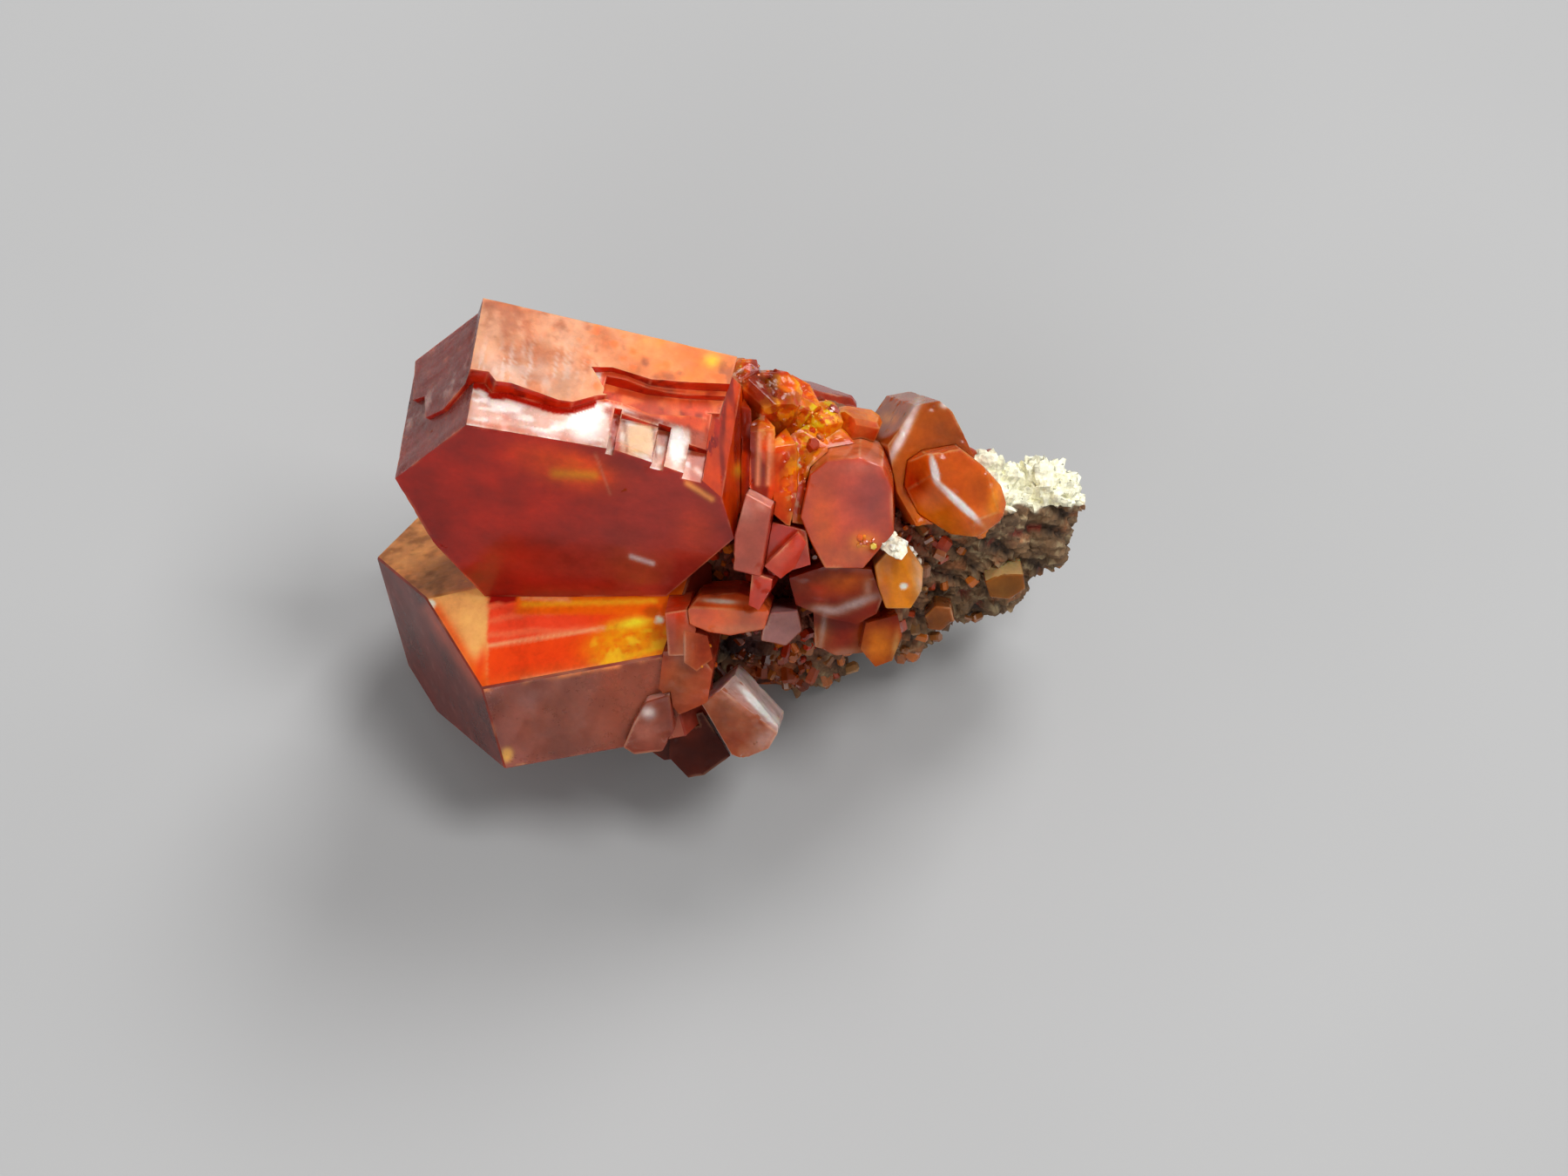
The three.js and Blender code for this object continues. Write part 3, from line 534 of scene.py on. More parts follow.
    # the faces toward the ridge glow orange-red, with darker seams
    right = (~top) & (~front) & (~left) & (~riser) & (x > 800)
    seams = smooth(noise(np.stack([x * 0.13, y * 0.025, z * 0.03], axis=1), 1.0, 71), 0.0, 0.45)
    cq = mixc(start(P, lin(214, 76, 8)), lin(128, 24, 6), seams * 0.85)
    # painted glint: a small bright yellow dot
    cq = mixc(cq, lin(255, 176, 40), blob(x, y, 848, 541, 6, 8))
    col = np.where(right[:, None], cq, col)
    # a pale line along the edges: painted edge highlight
    lip = smooth(0.05 - dist, 0.0, 0.04) * smooth(noise(P, 2.2, 55), -0.2, 0.4)
    col = mixc(col, lin(226, 150, 130), lip * 0.5)
    return col, np.clip(rough, 0.04, 0.9), np.clip(trans, 0, 1)


def lower_relief(P, Nn, dist):
    l3, l4, l1 = smooth(Nn @ LN3, 0.95, 0.99), smooth(Nn @ LN4, 0.95, 0.99), smooth(Nn @ LN1, 0.95, 0.99)
    across = unit(np.cross(LN4, LC))
    r = l3 * (0.006 * fbm(P, 3.0, 2, 5) + terraces(P, across, LC, 0.9, 0.012, 16, 3.0))
    r += l4 * (0.0008 * np.sin((P @ LC) * 20 + 4 * noise(P, 0.7, 18)) + 0.010 * fbm(P, 1.4, 3, 19) + terraces(P, across, LC, 0.8, 0.006, 17, 2.0))
    r += l1 * (terraces(P, across, LN2, 2.0, 0.03, 23, 1.3) + 0.01 * fbm(P, 8.0, 2, 24))
    r += np.clip(1 - l3 - l4 - l1, 0, 1) * (0.016 * fbm(P, 1.4, 3, 29))
    return r


def lower_paint(P, N, dist):
    x, y, z = sheet(P)
    nf, n2 = fbm(P, 1.3, 4, 131), fbm(P, 4.2, 3, 137)
    l3, l4, l1, l2 = N @ LN3 > 0.93, N @ LN4 > 0.93, N @ LN1 > 0.93, N @ LN2 > 0.93
    col = start(P, lin(134, 58, 50))
    rough, trans = np.full(len(P), 0.2), np.full(len(P), 0.3)
    c = start(P, lin(232, 74, 14))
    c = mixc(c, lin(226, 110, 44), smooth(y + 0.2 * x, 880, 905) * 0.6)
    wedge = smooth(x - 556, 0, 6) * smooth((742 - (x - 557) * 0.154) - y, 0, 3)
    fan = 0.5 + 0.5 * np.sin((y - 742) / np.maximum(x - 400, 20) * 62 + 1.5 * nf)
    c = mixc(c, lin(226, 76, 52), wedge * 0.85 * smooth(720 - x, 0, 80))
    c = mixc(c, lin(240, 134, 108), wedge * smooth(fan, 0.4, 1.0) * 0.5 * smooth(700 - x, 0, 60))
    c = mixc(c, lin(248, 104, 8), smooth(x - 586, 0, 10) * smooth(708 - y, 0, 5))
    # painted highlight: a bright yellow streak along the face's top edge, under the upper crystal
    c = mixc(c, lin(255, 176, 40), streak(x, y, 600, 694, 752, 690, 3.2) * 0.85)
    # painted shade: a dark patch just under the upper crystal's lower corner
    c = mixc(c, lin(150, 16, 4), smooth(x - 556, 0, 3) * smooth(594 - x, 0, 3) * smooth(693 - y, 0, 2))
    # painted highlight: a pale streak along the top edge
    c = mixc(c, lin(240, 150, 120), streak(x, y, 600, 686, 652, 688, 2.6) * 0.9)
    # painted glow: a bright orange-yellow patch (gl) for light shining through the crystal, with painted yellow
    # highlights at its top
    cell_a, cell_b, cell_w = cells(P, 5.5, 161)
    gl = blob(x, y, 724, 739, 50, 26, -10, 4)
    c = mixc(c, lin(255, 160, 6), gl * 1.1)
    c = mixc(c, lin(232, 104, 4), gl * smooth(0.16 - (cell_b - cell_a), 0, 0.14) * 0.7)
    c = mixc(c, lin(255, 226, 60), blob(x, y, 727, 715, 22, 6, -10) + 0.5 * gl * smooth(cell_w, 0.7, 0.8))
    c = mixc(c, lin(255, 196, 40), streak(x, y, 690, 762, 762, 742, 3) * 0.8)
    c = mixc(c, lin(150, 76, 8), blob(x, y, 748, 702, 12, 9, 0, 4) * 0.8)
    # painted highlight: a white spark
    c = mixc(c, lin(255, 252, 226), blob(x, y, 757, 711, 4, 4.5, 0, 4) * 1.2)
    c = mixc(c, lin(255, 170, 140), streak(x, y, 557, 742, 693, 721, 2.4) * 0.9)
    c = mixc(c, lin(250, 184, 128), smooth(559 + 2 * n2 - x, -2, 2) * 0.95)
    c = mixc(c, lin(240, 110, 48), smooth(559 - x, -2, 2) * smooth(y + 0.9 * x, 1236, 1262))
    c = mixc(c, lin(250, 96, 8), streak(x, y, 500, 700, 556, 786, 7) * 0.85)
    c = mixc(c, lin(196, 60, 20), blob(x, y, 552, 762, 5, 20, 10) * 0.7)
    # painted highlight: a white spark
    c = mixc(c, lin(255, 252, 230), blob(x, y, 493, 693, 6, 4.5, 30, 4) * 1.2)
    # painted highlight: a pale streak along the edge with the mauve face
    c = mixc(c, lin(250, 190, 150), streak(x, y, 600, 780, 690, 766, 3) * 0.5)
    col = np.where(l3[:, None], c, col)
    trans = np.where(l3, 0.08, trans)
    rough = np.where(l3, 0.16, rough)
    c = mixc(start(P, lin(142, 90, 86)), lin(126, 82, 84), smooth(575 - x + 12 * nf, -10, 30))
    veil = fbm(np.stack([x * 0.045 + 0.02 * y, y * 0.012, z * 0], axis=1), 1.0, 3, 173)
    c = mixc(c, lin(176, 122, 114), smooth(veil, 0.05, 0.5) * 0.6)
    c = mixc(c, lin(112, 56, 50), smooth(-veil, 0.1, 0.5) * 0.5)
    c = mixc(c, lin(154, 96, 84), blob(x, y, 650, 820, 70, 50, -10) * 0.5)
    c = mixc(c, lin(168, 122, 118), smooth(nf, 0.1, 0.6) * blob(x, y, 630, 810, 90, 50) * 0.5)
    c = mixc(c, lin(150, 84, 70), smooth(x, 670, 710) * 0.6)
    c = mixc(c, lin(206, 176, 110), blob(x, y, 581, 867, 7, 9, 20, 4))
    c = mixc(c, lin(186, 150, 110), blob(x, y, 600, 880, 8, 3, 0, 4) * 0.8)
    # painted highlight: a broken pale streak along the edge with the orange face
    c = mixc(c, lin(240, 170, 120), streak(x, y, 556, 792, 760, 755, 2.4) * smooth(noise(P, 3.0, 164), -0.3, 0.3) * 0.7)
    col = np.where(l4[:, None], c, col)
    trans = np.where(l4, 0.22, trans)
    rough = np.where(l4, 0.24 + 0.06 * nf, rough)
    c = mixc(start(P, lin(100, 42, 42)), lin(128, 72, 74), smooth(n2, 0.1, 0.6) * 0.5)
    c = mixc(c, lin(176, 84, 60), streak(x, y, 490, 700, 552, 792, 8) * 0.7)
    col = np.where(l2[:, None], c, col)
    trans = np.where(l2, 0.25, trans)
    c = mixc(start(P, lin(190, 142, 96)), lin(146, 104, 66), smooth(n2, -0.1, 0.5))
    c = mixc(c, lin(212, 168, 112), smooth(noise(P, 6.0, 51), 0.35, 0.7) * 0.5)
    c = mixc(c, lin(206, 140, 112), smooth(x, 500, 560))
    col = np.where(l1[:, None], c, col)
    trans = np.where(l1, 0.1, trans)
    rough = np.where(l1, 0.42, rough)
    # a pale line along the edges: painted edge highlight
    lip = smooth(0.05 - dist, 0.0, 0.04) * smooth(noise(P, 2.0, 155), 0.0, 0.5)
    col = mixc(col, lin(236, 180, 150), lip * 0.35)
    return col, np.clip(rough, 0.04, 0.9), np.clip(trans, 0, 1)


# ------------------------------------------------------------- small crystals
def plain_relief(seed, amp=0.012, scale=2.4):
    def f(P, Nn, dist):
        up = D(0, 1, 0.1)
        q = P @ up
        stri = np.sin(q * 24 + 3 * noise(P, 1.2, seed)) * 0.03
        return amp * (fbm(P, scale, 3, seed + 2) + stri) + terraces(P, D(1, 0, 0), up, 1.2, amp * 0.9, seed + 7, 1.3)
    return f


def zone_paint(face, side, top=None, rough=0.15, trans=0.4, spots=(), seed=1, mott=0.35, sides_trans=None, lip=(236, 190, 168), lip_w=0.4):
    """Face toward the viewer, sides, top, then soft spots:
    (colour, cx, cy, rx, ry, angle, strength). The paler top colour is partly painted sheen; many spots are painted
    highlights, glints and glows, with crisp edges above strength 1.55; the pale line along the edges is a painted edge
    highlight."""
    def f(P, N, dist):
        x, y, z = sheet(P)
        nf, n2 = fbm(P, 1.8, 4, seed + 3), fbm(P, 5.0, 3, seed + 11)
        w = smooth(N @ TOWARD, 0.45, 0.8)
        col = mixc(start(P, lin(*side)), lin(*face), w)
        if top is not None:
            # painted sheen: tops are given a paler colour, partly the crystal's own tone
            col = mixc(col, lin(*top), smooth(N @ D(0, 1, 0), 0.35, 0.7))
        col = mixc(col, col.mean(axis=0) * 0.55, smooth(nf, 0.0, 0.55) * mott)
        # spots: soft colour patches, many of them painted highlights, glints and glows
        for c, cx, cy, rx, ry, an, st in spots:
            col = mixc(col, lin(*c), blob(x, y, cx, cy, rx, ry, an, 4.0 if st > 1.55 else 2.0) * st * smooth(N @ TOWARD, -0.1, 0.25) * (0.9 + 0.35 * n2))
        tr = np.full(len(P), trans, dtype=float) * (1 - 0.25 * smooth(nf, 0, 0.6))
        # painted edge highlight: a pale line along the edges
        lp = smooth(0.045 - dist, 0.0, 0.035) * smooth(noise(P, 1.7, seed + 21), 0.0, 0.5)
        col = mixc(col, lin(*lip), lp * lip_w)
        return col, np.clip(np.full(len(P), rough) + 0.05 * n2, 0.03, 0.9), np.clip(tr, 0, 1)
    return f


mat_large = crystal_material("vanadinite_large", absorb=(0.96, 0.17, 0.03), density=450.0, ior=1.5, sss=0.6, spec=0.2)
mat_red = crystal_material("vanadinite_red", absorb=(0.97, 0.22, 0.05), density=500.0, ior=1.5, fine=1.4, sss=0.5, spec=0.18)
mat_amber = crystal_material("vanadinite_amber", absorb=(0.99, 0.42, 0.05), density=450.0, ior=1.5, fine=1.4, sss=0.5, spec=0.18)
mat_dark = crystal_material("vanadinite_dark", absorb=(0.92, 0.2, 0.08), density=900.0, ior=1.5, fine=1.4, sss=0.3, spec=0.12)
mat_druse = crystal_material("druse_red", absorb=(0.95, 0.3, 0.08), density=900.0, ior=1.7, fine=2.2, spec=0.4)
mat_gold = crystal_material("druse_amber", absorb=(1.0, 0.6, 0.1), density=500.0, ior=1.7, fine=2.2, spec=0.5)
mat_crust = rock_material("pale_crust")
mat_rock = rock_material("brown_rock")

grown_crystal("upper_large_crystal", upper_relief, upper_paint, mat_large, length=0.095, bevel=0.028, chips=0.03, chip_scale=1.8, seed=14)
grown_crystal("lower_large_crystal", lower_relief, lower_paint, mat_large, length=0.108, bevel=0.035, chips=0.0, chip_scale=1.6, seed=12)

# In the spots below, the near-white and bright yellow ones, and all of strength over 1.55, are painted highlights and
# glints; a few bright orange ones are painted glows; the paler top colours are partly painted sheen.
SMALL = {
    "bar_crystal": (mat_red, dict(face=(172, 82, 80), side=(150, 34, 18), top=(226, 160, 152), trans=0.25, seed=201,
                    spots=[((214, 140, 136), 856, 584, 14, 16, 20, 0.8), ((150, 70, 66), 862, 630, 16, 26, 0, 0.5), ((226, 160, 150), 874, 582, 8, 4, 30, 0.8)])),
    # plate: the bright orange-yellow spot low down is a painted glint
    "plate_crystal": (mat_red, dict(face=(196, 76, 50), side=(216, 84, 18), top=(206, 122, 92), trans=0.35, seed=211,
                      spots=[((214, 92, 76), 985, 575, 40, 36, 0, 0.7), ((236, 110, 26), 944, 606, 17, 46, -8, 0.9), ((222, 120, 70), 975, 640, 30, 12, 0, 0.7), ((172, 74, 88), 1000, 568, 26, 38, 0, 0.9), ((190, 104, 104), 988, 537, 30, 9, 0, 0.8),
                             ((255, 168, 30), 990, 622, 14, 9, 0, 0.9), ((206, 66, 46), 985, 575, 14, 9, 0, 0.5)])),
    # arched: the white strip along the left edge and the white dot are painted highlights
    "arched_crystal": (mat_amber, dict(face=(178, 88, 16), side=(190, 104, 56), top=(176, 88, 40), trans=0.4, seed=221,
                       spots=[((150, 84, 60), 1090, 500, 30, 30, 0, 0.6), ((236, 120, 30), 1050, 590, 30, 20, 0, 0.8),
                              ((255, 160, 30), 1020, 480, 8, 6, 0, 1.0), ((255, 232, 226), 1037, 497, 4.4, 40, 26, 1.4), ((226, 110, 16), 1024, 560, 12, 34, 10, 0.7), ((240, 120, 24), 1100, 596, 30, 8, 0, 0.8), ((255, 240, 232), 1084, 465, 5, 4, 0, 1.1)])),
    # lobe: the two white strips are painted highlights, the bright orange patch low down a painted glow
    "lobe_crystal": (mat_amber, dict(face=(206, 96, 22), side=(240, 122, 16), top=(196, 92, 36), trans=0.45, seed=231,
                     spots=[((200, 26, 6), 1048, 560, 14, 26, 0, 0.8), ((255, 140, 4), 1080, 594, 34, 17, 30, 1.0), ((255, 244, 238), 1100, 578, 37, 4.4, 43, 1.6), ((255, 244, 238), 1072, 541, 4.2, 17, -14, 1.6), ((255, 168, 40), 1140, 578, 7, 30, 12, 0.8), ((250, 150, 40), 1112, 618, 30, 6, 16, 0.7),
                            ((222, 128, 96), 1132, 600, 18, 14, 0, 0.7), ((230, 130, 40), 1130, 545, 20, 14, 40, 0.5)])),
    # tablet: the thin pale strip near the top is a painted highlight
    "tablet_crystal": (mat_red, dict(face=(226, 100, 50), side=(210, 60, 18), top=(230, 110, 70), trans=0.4, seed=241,
                       spots=[((226, 90, 14), 812, 704, 20, 12, 0, 0.8), ((255, 226, 206), 826, 690, 20, 2.6, 4, 1.4), ((240, 130, 40), 850, 706, 22, 8, 0, 0.7),
                              ((190, 44, 20), 796, 690, 14, 10, 0, 0.6), ((230, 160, 130), 850, 722, 34, 6, 0, 0.6)])),
    # amber: the white dot is a painted highlight
    "amber_crystal": (mat_amber, dict(face=(242, 146, 12), side=(230, 150, 90), top=(230, 190, 150), trans=0.4, seed=251,
                      spots=[((245, 160, 40), 1030, 664, 16, 20, 0, 0.7), ((236, 200, 180), 1054, 664, 7, 26, 0, 0.8),
                             ((190, 90, 16), 1014, 676, 8, 16, 0, 0.6), ((255, 252, 240), 1037, 673, 4.2, 3.6, 0, 1.6)])),
    "vee_crystal": (mat_red, dict(face=(206, 60, 36), side=(190, 36, 12), top=(216, 120, 110), trans=0.35, seed=261,
                    spots=[((214, 120, 120), 900, 636, 26, 8, -50, 0.6), ((190, 30, 10), 905, 612, 22, 16, 0, 0.7)])),
    # block: the white strip along the upper right edge is a painted highlight; its pale side and top colours are partly
    # painted sheen
    "block_crystal": (mat_red, dict(face=(156, 84, 62), side=(206, 160, 150), top=(236, 214, 206), trans=0.3, seed=271,
                      spots=[((190, 140, 130), 846, 806, 26, 14, 40, 0.6), ((140, 50, 30), 850, 846, 24, 14, 0, 0.5),
                             ((255, 250, 244), 874, 813, 34, 4.6, 44, 1.6), ((214, 176, 166), 880, 846, 16, 10, -40, 0.6)])),
    # corner: the small near-white spot is a painted glint
    "corner_crystal": (mat_red, dict(face=(140, 70, 64), side=(150, 60, 50), top=(220, 160, 150), trans=0.3, seed=281,
                       spots=[((252, 230, 220), 744, 818, 7, 6, 0, 0.95), ((200, 130, 124), 738, 836, 16, 14, 0, 0.5)])),
    "side_crystal_group": (mat_dark, dict(face=(170, 76, 54), side=(166, 50, 28), top=(190, 110, 96), trans=0.3, seed=291,
                           spots=[((228, 58, 6), 779, 690, 19, 21, 0, 1.0), ((120, 34, 20), 808, 746, 10, 16, 0, 0.7), ((190, 130, 120), 784, 752, 10, 26, 10, 0.6),
                                  ((176, 104, 76), 780, 786, 28, 24, 0, 0.6)])),
    "foot_crystal_group": (mat_dark, dict(face=(62, 20, 16), side=(60, 20, 16), top=(110, 46, 36), trans=0.1, seed=301, lip_w=0.12,
                           spots=[((120, 44, 26), 790, 840, 16, 12, 0, 0.6), ((96, 50, 50), 752, 862, 22, 9, 0, 0.5)])),
    "mauve_crystal": (mat_red, dict(face=(158, 110, 108), side=(140, 80, 76), top=(180, 130, 130), trans=0.15, seed=311, rough=0.3)),
    # under plate: the thin pale bands are painted highlights
    "under_plate_group": (mat_dark, dict(face=(140, 34, 12), side=(140, 34, 14), top=(190, 80, 26), trans=0.4, seed=321,
                          spots=[((206, 104, 30), 966, 668, 40, 13, -6, 0.95), ((190, 50, 10), 940, 676, 16, 9, 0, 0.7), ((216, 180, 170), 948, 700, 18, 5, 6, 0.85), ((222, 190, 182), 984, 692, 25, 5.2, -20, 0.95), ((200, 150, 140), 996, 674, 5, 10, 0, 0.9), ((190, 140, 126), 972, 749, 22, 6, -6, 0.9),
                                 ((110, 20, 10), 962, 718, 30, 10, 0, 0.9), ((206, 176, 170), 944, 726, 3.2, 22, 8, 0.8), ((150, 40, 30), 972, 732, 14, 12, 0, 0.6),
                                 ((212, 130, 36), 1009, 742, 21, 22, 0, 0.95), ((214, 170, 120), 1028, 742, 3.4, 16, 8, 0.9), ((176, 120, 90), 940, 732, 16, 16, 0, 0.6)])),
    # ridge: the bright yellow spots are painted sparkle
    "ridge_crystal_group": (mat_amber, dict(face=(214, 66, 14), side=(224, 96, 20), top=(226, 126, 30), trans=0.35, seed=331,
                            spots=[((230, 140, 40), 880, 440, 34, 20, 20, 0.9), ((206, 140, 90), 888, 470, 10, 18, 0, 0.6),
                                   ((216, 60, 16), 842, 520, 18, 60, 0, 0.8), ((150, 40, 36), 882, 490, 14, 16, 0, 0.6),
                                   ((255, 190, 40), 940, 480, 22, 22, 30, 0.8), ((255, 180, 30), 935, 530, 18, 10, 0, 0.8),
                                   ((216, 140, 110), 988, 482, 14, 20, 0, 0.8), ((255, 200, 60), 848, 546, 5, 5, 0, 1.0),
                                   ((226, 130, 120), 872, 528, 3, 34, 0, 0.9), ((226, 130, 120), 886, 522, 3, 24, 0, 0.9)])),
    "edge_crystal": (mat_amber, dict(face=(128, 82, 44), side=(120, 70, 40), top=(190, 160, 120), trans=0.2, seed=341, lip=(220, 196, 160), lip_w=0.7)),
    "edge_crystal_small": (mat_amber, dict(face=(140, 84, 54), side=(130, 80, 56), trans=0.2, seed=351)),
    "rear_crystal_a": (mat_red, dict(face=(176, 60, 34), side=(150, 44, 26), trans=0.4, seed=361)),
    "rear_crystal_b": (mat_red, dict(face=(170, 52, 30), side=(140, 40, 26), trans=0.4, seed=371)),
    "rear_crystal_c": (mat_amber, dict(face=(196, 92, 30), side=(170, 70, 30), trans=0.4, seed=381)),
}
SPACING = {"lobe_crystal": 0.058, "arched_crystal": 0.066, "block_crystal": 0.058, "tablet_crystal": 0.058, "amber_crystal": 0.072,
           "under_plate_group": 0.08, "plate_crystal": 0.085, "vee_crystal": 0.09, "foot_crystal_group": 0.09, "mauve_crystal": 0.09,
           "rear_crystal_a": 0.1, "rear_crystal_b": 0.1, "rear_crystal_c": 0.1}
RIDGE = SMALL.pop("ridge_crystal_group")
for node, (mat, kw) in SMALL.items():
    grown_crystal(node, plain_relief(kw["seed"], amp=0.004 if node in ("lobe_crystal", "arched_crystal") else 0.009), zone_paint(**kw), mat,
                  length=SPACING.get(node, 0.072), bevel=0.022, chips=0.035, chip_scale=3.2, seed=kw["seed"],
                  gain=(1.1, 0.95, 0.4) if mat is mat_amber else (1.1, 0.85, 0.45))


def facets(P, scale, seed):
    """Intergrown facets: each cell is a small plane with its own height and
    tilt. Returns height (about -1 to 1) and the cell's own number."""
    Q = P * scale
    I = np.floor(Q).astype(np.int64)
    best, who = np.full(len(Q), 9.0), np.zeros(len(Q))
    off = np.zeros((len(Q), 3))
    for dx in (-1, 0, 1):
        for dy in (-1, 0, 1):
            for dz in (-1, 0, 1):
                c = np.stack([I[:, 0] + dx, I[:, 1] + dy, I[:, 2] + dz], axis=1)
                o = Q - c - np.stack([_hash(c[:, 0], c[:, 1], c[:, 2], seed + k) for k in range(3)], axis=1)
                d = np.linalg.norm(o, axis=1)
                near = d < best
                who = np.where(near, _hash(c[:, 0], c[:, 1], c[:, 2], seed + 3), who)
                off = np.where(near[:, None], o, off)
                best = np.where(near, d, best)
    tilt = np.stack([np.sin(who * 91.7), np.sin(who * 57.3 + 1.1), np.sin(who * 133.1 + 2.3)], axis=1)
    return (who - 0.5) + 0.9 * np.sum(off * tilt, axis=1), who


def jumble_mask(P):
    x, y, z = sheet(P)
    return np.maximum.reduce([blob(x, y, 915, 460, 66, 56, 28, 4), blob(x, y, 922, 540, 24, 60, 0, 4), blob(x, y, 876, 432, 40, 28, 20, 4)])


def ridge_relief(P, Nn, dist):
    f1, w1 = facets(P, 2.6, 611)
    f2, w2 = facets(P, 6.0, 617)
    plain = 0.009 * fbm(P, 2.4, 3, 333) + 0.03 * np.abs(np.sin((P @ D(1, 0, 0)) * 9)) * (1 - jumble_mask(P)) * 0.4
    return plain + jumble_mask(P) * (0.11 * f1 + 0.035 * f2)


def ridge_paint(P, N, dist):
    x, y, z = sheet(P)
    col, rough, trans = zone_paint(**RIDGE[1])(P, N, dist)
    f1, w1 = facets(P, 2.6, 611)
    f2, w2 = facets(P, 6.0, 617)
    m = jumble_mask(P)
    for lo, hi, c in ((0.0, 0.2, (180, 88, 20)), (0.2, 0.44, (236, 118, 10)), (0.44, 0.6, (216, 66, 6)),
                      (0.6, 0.78, (244, 160, 34)), (0.78, 0.9, (214, 124, 50)), (0.9, 1.01, (132, 36, 12))):
        col = mixc(col, lin(*c), m * ((w1 >= lo) & (w1 < hi)) * 0.8)
    # gold patch of amber colour; its bright yellow facets are painted glints
    gold = blob(x, y, 940, 478, 20, 36, 20, 3)
    col = mixc(col, lin(250, 150, 14), gold * (w1 < 0.7) * 0.85)
    col = mixc(col, lin(255, 214, 50), gold * (w2 > 0.72))
    col = mixc(col, lin(200, 60, 8), m * (w2 < 0.25) * 0.7)
    # painted reflection: pale facets
    col = mixc(col, lin(226, 206, 190), m * (w2 > 0.93) * (x < 920) * 0.5)
    col = mixc(col, lin(216, 60, 8), smooth(870 - x, 0, 12) * smooth(y - 440, 0, 20) * 0.8)
    col = mixc(col, lin(112, 20, 6), smooth(noise(np.stack([x * 0.09, y * 0.02, z * 0], axis=1), 1.0, 619), 0.15, 0.5) * smooth(905 - x, 0, 20) * 0.8)
    for sx in (872, 884):
        col = mixc(col, lin(236, 150, 140), streak(x, y, sx, 500, sx - 2, 556, 2.6) * 0.95)
    return col, rough, trans


grown_crystal("ridge_crystal_group", ridge_relief, ridge_paint, mat_amber, length=0.07, bevel=0.02, chips=0.03, chip_scale=3.2, seed=331,
              gain=(1.15, 0.95, 0.35))


# ----------------------------------------------------------------------- rock
def voxel_copy(node, voxel, name):
    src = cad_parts[node]
    me = src.data.copy()
    me.name = name
    me.transform(Matrix.Scale(1000, 4))
    ob = bpy.data.objects.new(name, me)
    bpy.context.scene.collection.objects.link(ob)
    w = ob.modifiers.new("weld", "WELD"); w.merge_threshold = 2e-4
    r = ob.modifiers.new("remesh", "REMESH"); r.mode = "VOXEL"; r.voxel_size = voxel
    dg = bpy.context.evaluated_depsgraph_get()
    new = bpy.data.meshes.new_from_object(ob.evaluated_get(dg))
    ob.modifiers.clear()
    ob.data = new
    new.name = name
    return ob


rock = voxel_copy("matrix_rock", 0.079, "rock_body")
me = rock.data
V, vi, fid, fn = corner_arrays(me)
VN = np.empty(len(V) * 3); me.vertices.foreach_get("normal", VN); VN = VN.reshape(-1, 3)
LAYER = unit(D(0.55, 0.8, 0.25))
x, y, z = sheet(V)
warp = V + 0.35 * np.stack([noise(V, 0.9, 3), noise(V, 0.9, 4), noise(V, 0.9, 5)], axis=1)
q = (warp @ LAYER) * 1.55 + 1.1 * fbm(V, 0.6, 3, 6)
saw = q - np.floor(q)
layers = 0.15 * (smooth(saw, 0.0, 0.75) - smooth(saw, 0.86, 1.0)) - 0.075
q2 = (warp @ unit(D(0.35, 0.9, 0.1))) * 5.2 + 1.4 * fbm(V, 1.3, 3, 16)
saw2 = q2 - np.floor(q2)
layers += 0.075 * (saw2 - smooth(saw2, 0.8, 1.0) - 0.4)
c1, c2, who = cells(V, 1.7, 71)
blocks = 0.22 * (who - 0.5) * smooth(c2 - c1, 0.0, 0.25) - 0.10 * smooth(0.16 - (c2 - c1), 0, 0.16)
k1, k2, kwho = cells(V, 4.3, 75)
k1b, k2b, kwb = cells(V + 0.1 * noise(V, 5.0, 76)[:, None], 8.5, 76)
grit = 0.05 * (0.5 - k1) + 0.10 * (kwho - 0.5) + 0.07 * (kwb - 0.5)
crust_mask = smooth(586 + 20 * fbm(V, 2.4, 3, 77) - y, 0, 5) * smooth(x, 1085, 1125) * smooth(VN @ D(0, 1, 0.4), -0.3, 0.1)
crust_mask = np.maximum(crust_mask, 0.8 * smooth(VN[:, 2] + 0.3 * fbm(V, 1.2, 3, 78), 0.75, 0.95) * smooth(x, 980, 1080))
lift = layers + blocks + grit + 0.03 * noise(V, 9.0, 79) + crust_mask * 0.09 * (kwb - 0.3)
low = smooth(V[:, 2], 0.05, 0.35)
Q = V + VN * (lift * low)[:, None]
# the flat base stays flat, and nothing moves more than about 0.05 mm past the rock's own bounds
lo, hi = V.min(axis=0), V.max(axis=0)
Q[:, 2] = np.where(V[:, 2] < 0.05, V[:, 2], np.maximum(Q[:, 2], 0.02))
Q = np.minimum(np.maximum(Q, lo - 0.05), hi + 0.06)
Q[:, 2] = np.maximum(Q[:, 2], 0)
me.vertices.foreach_set("co", Q.ravel())
me.update()
cav = smooth(-(blocks + layers), 0.0, 0.16)
V, vi, fid, fn = corner_arrays(me)
X, Y, Z = sheet(V)
f3, f8 = fbm(V, 1.1, 4, 81), fbm(V, 4.6, 3, 83)
vc = start(V, lin(126, 94, 62))
vc = mixc(vc, lin(98, 72, 48), smooth(f3, -0.1, 0.5))
vc = mixc(vc, lin(156, 92, 50), smooth(fbm(V, 2.1, 3, 85), 0.1, 0.45) * 0.7)
vc = mixc(vc, lin(182, 160, 120), smooth(saw2, 0.45, 0.8) * smooth(f8, -0.1, 0.4) * 0.75)
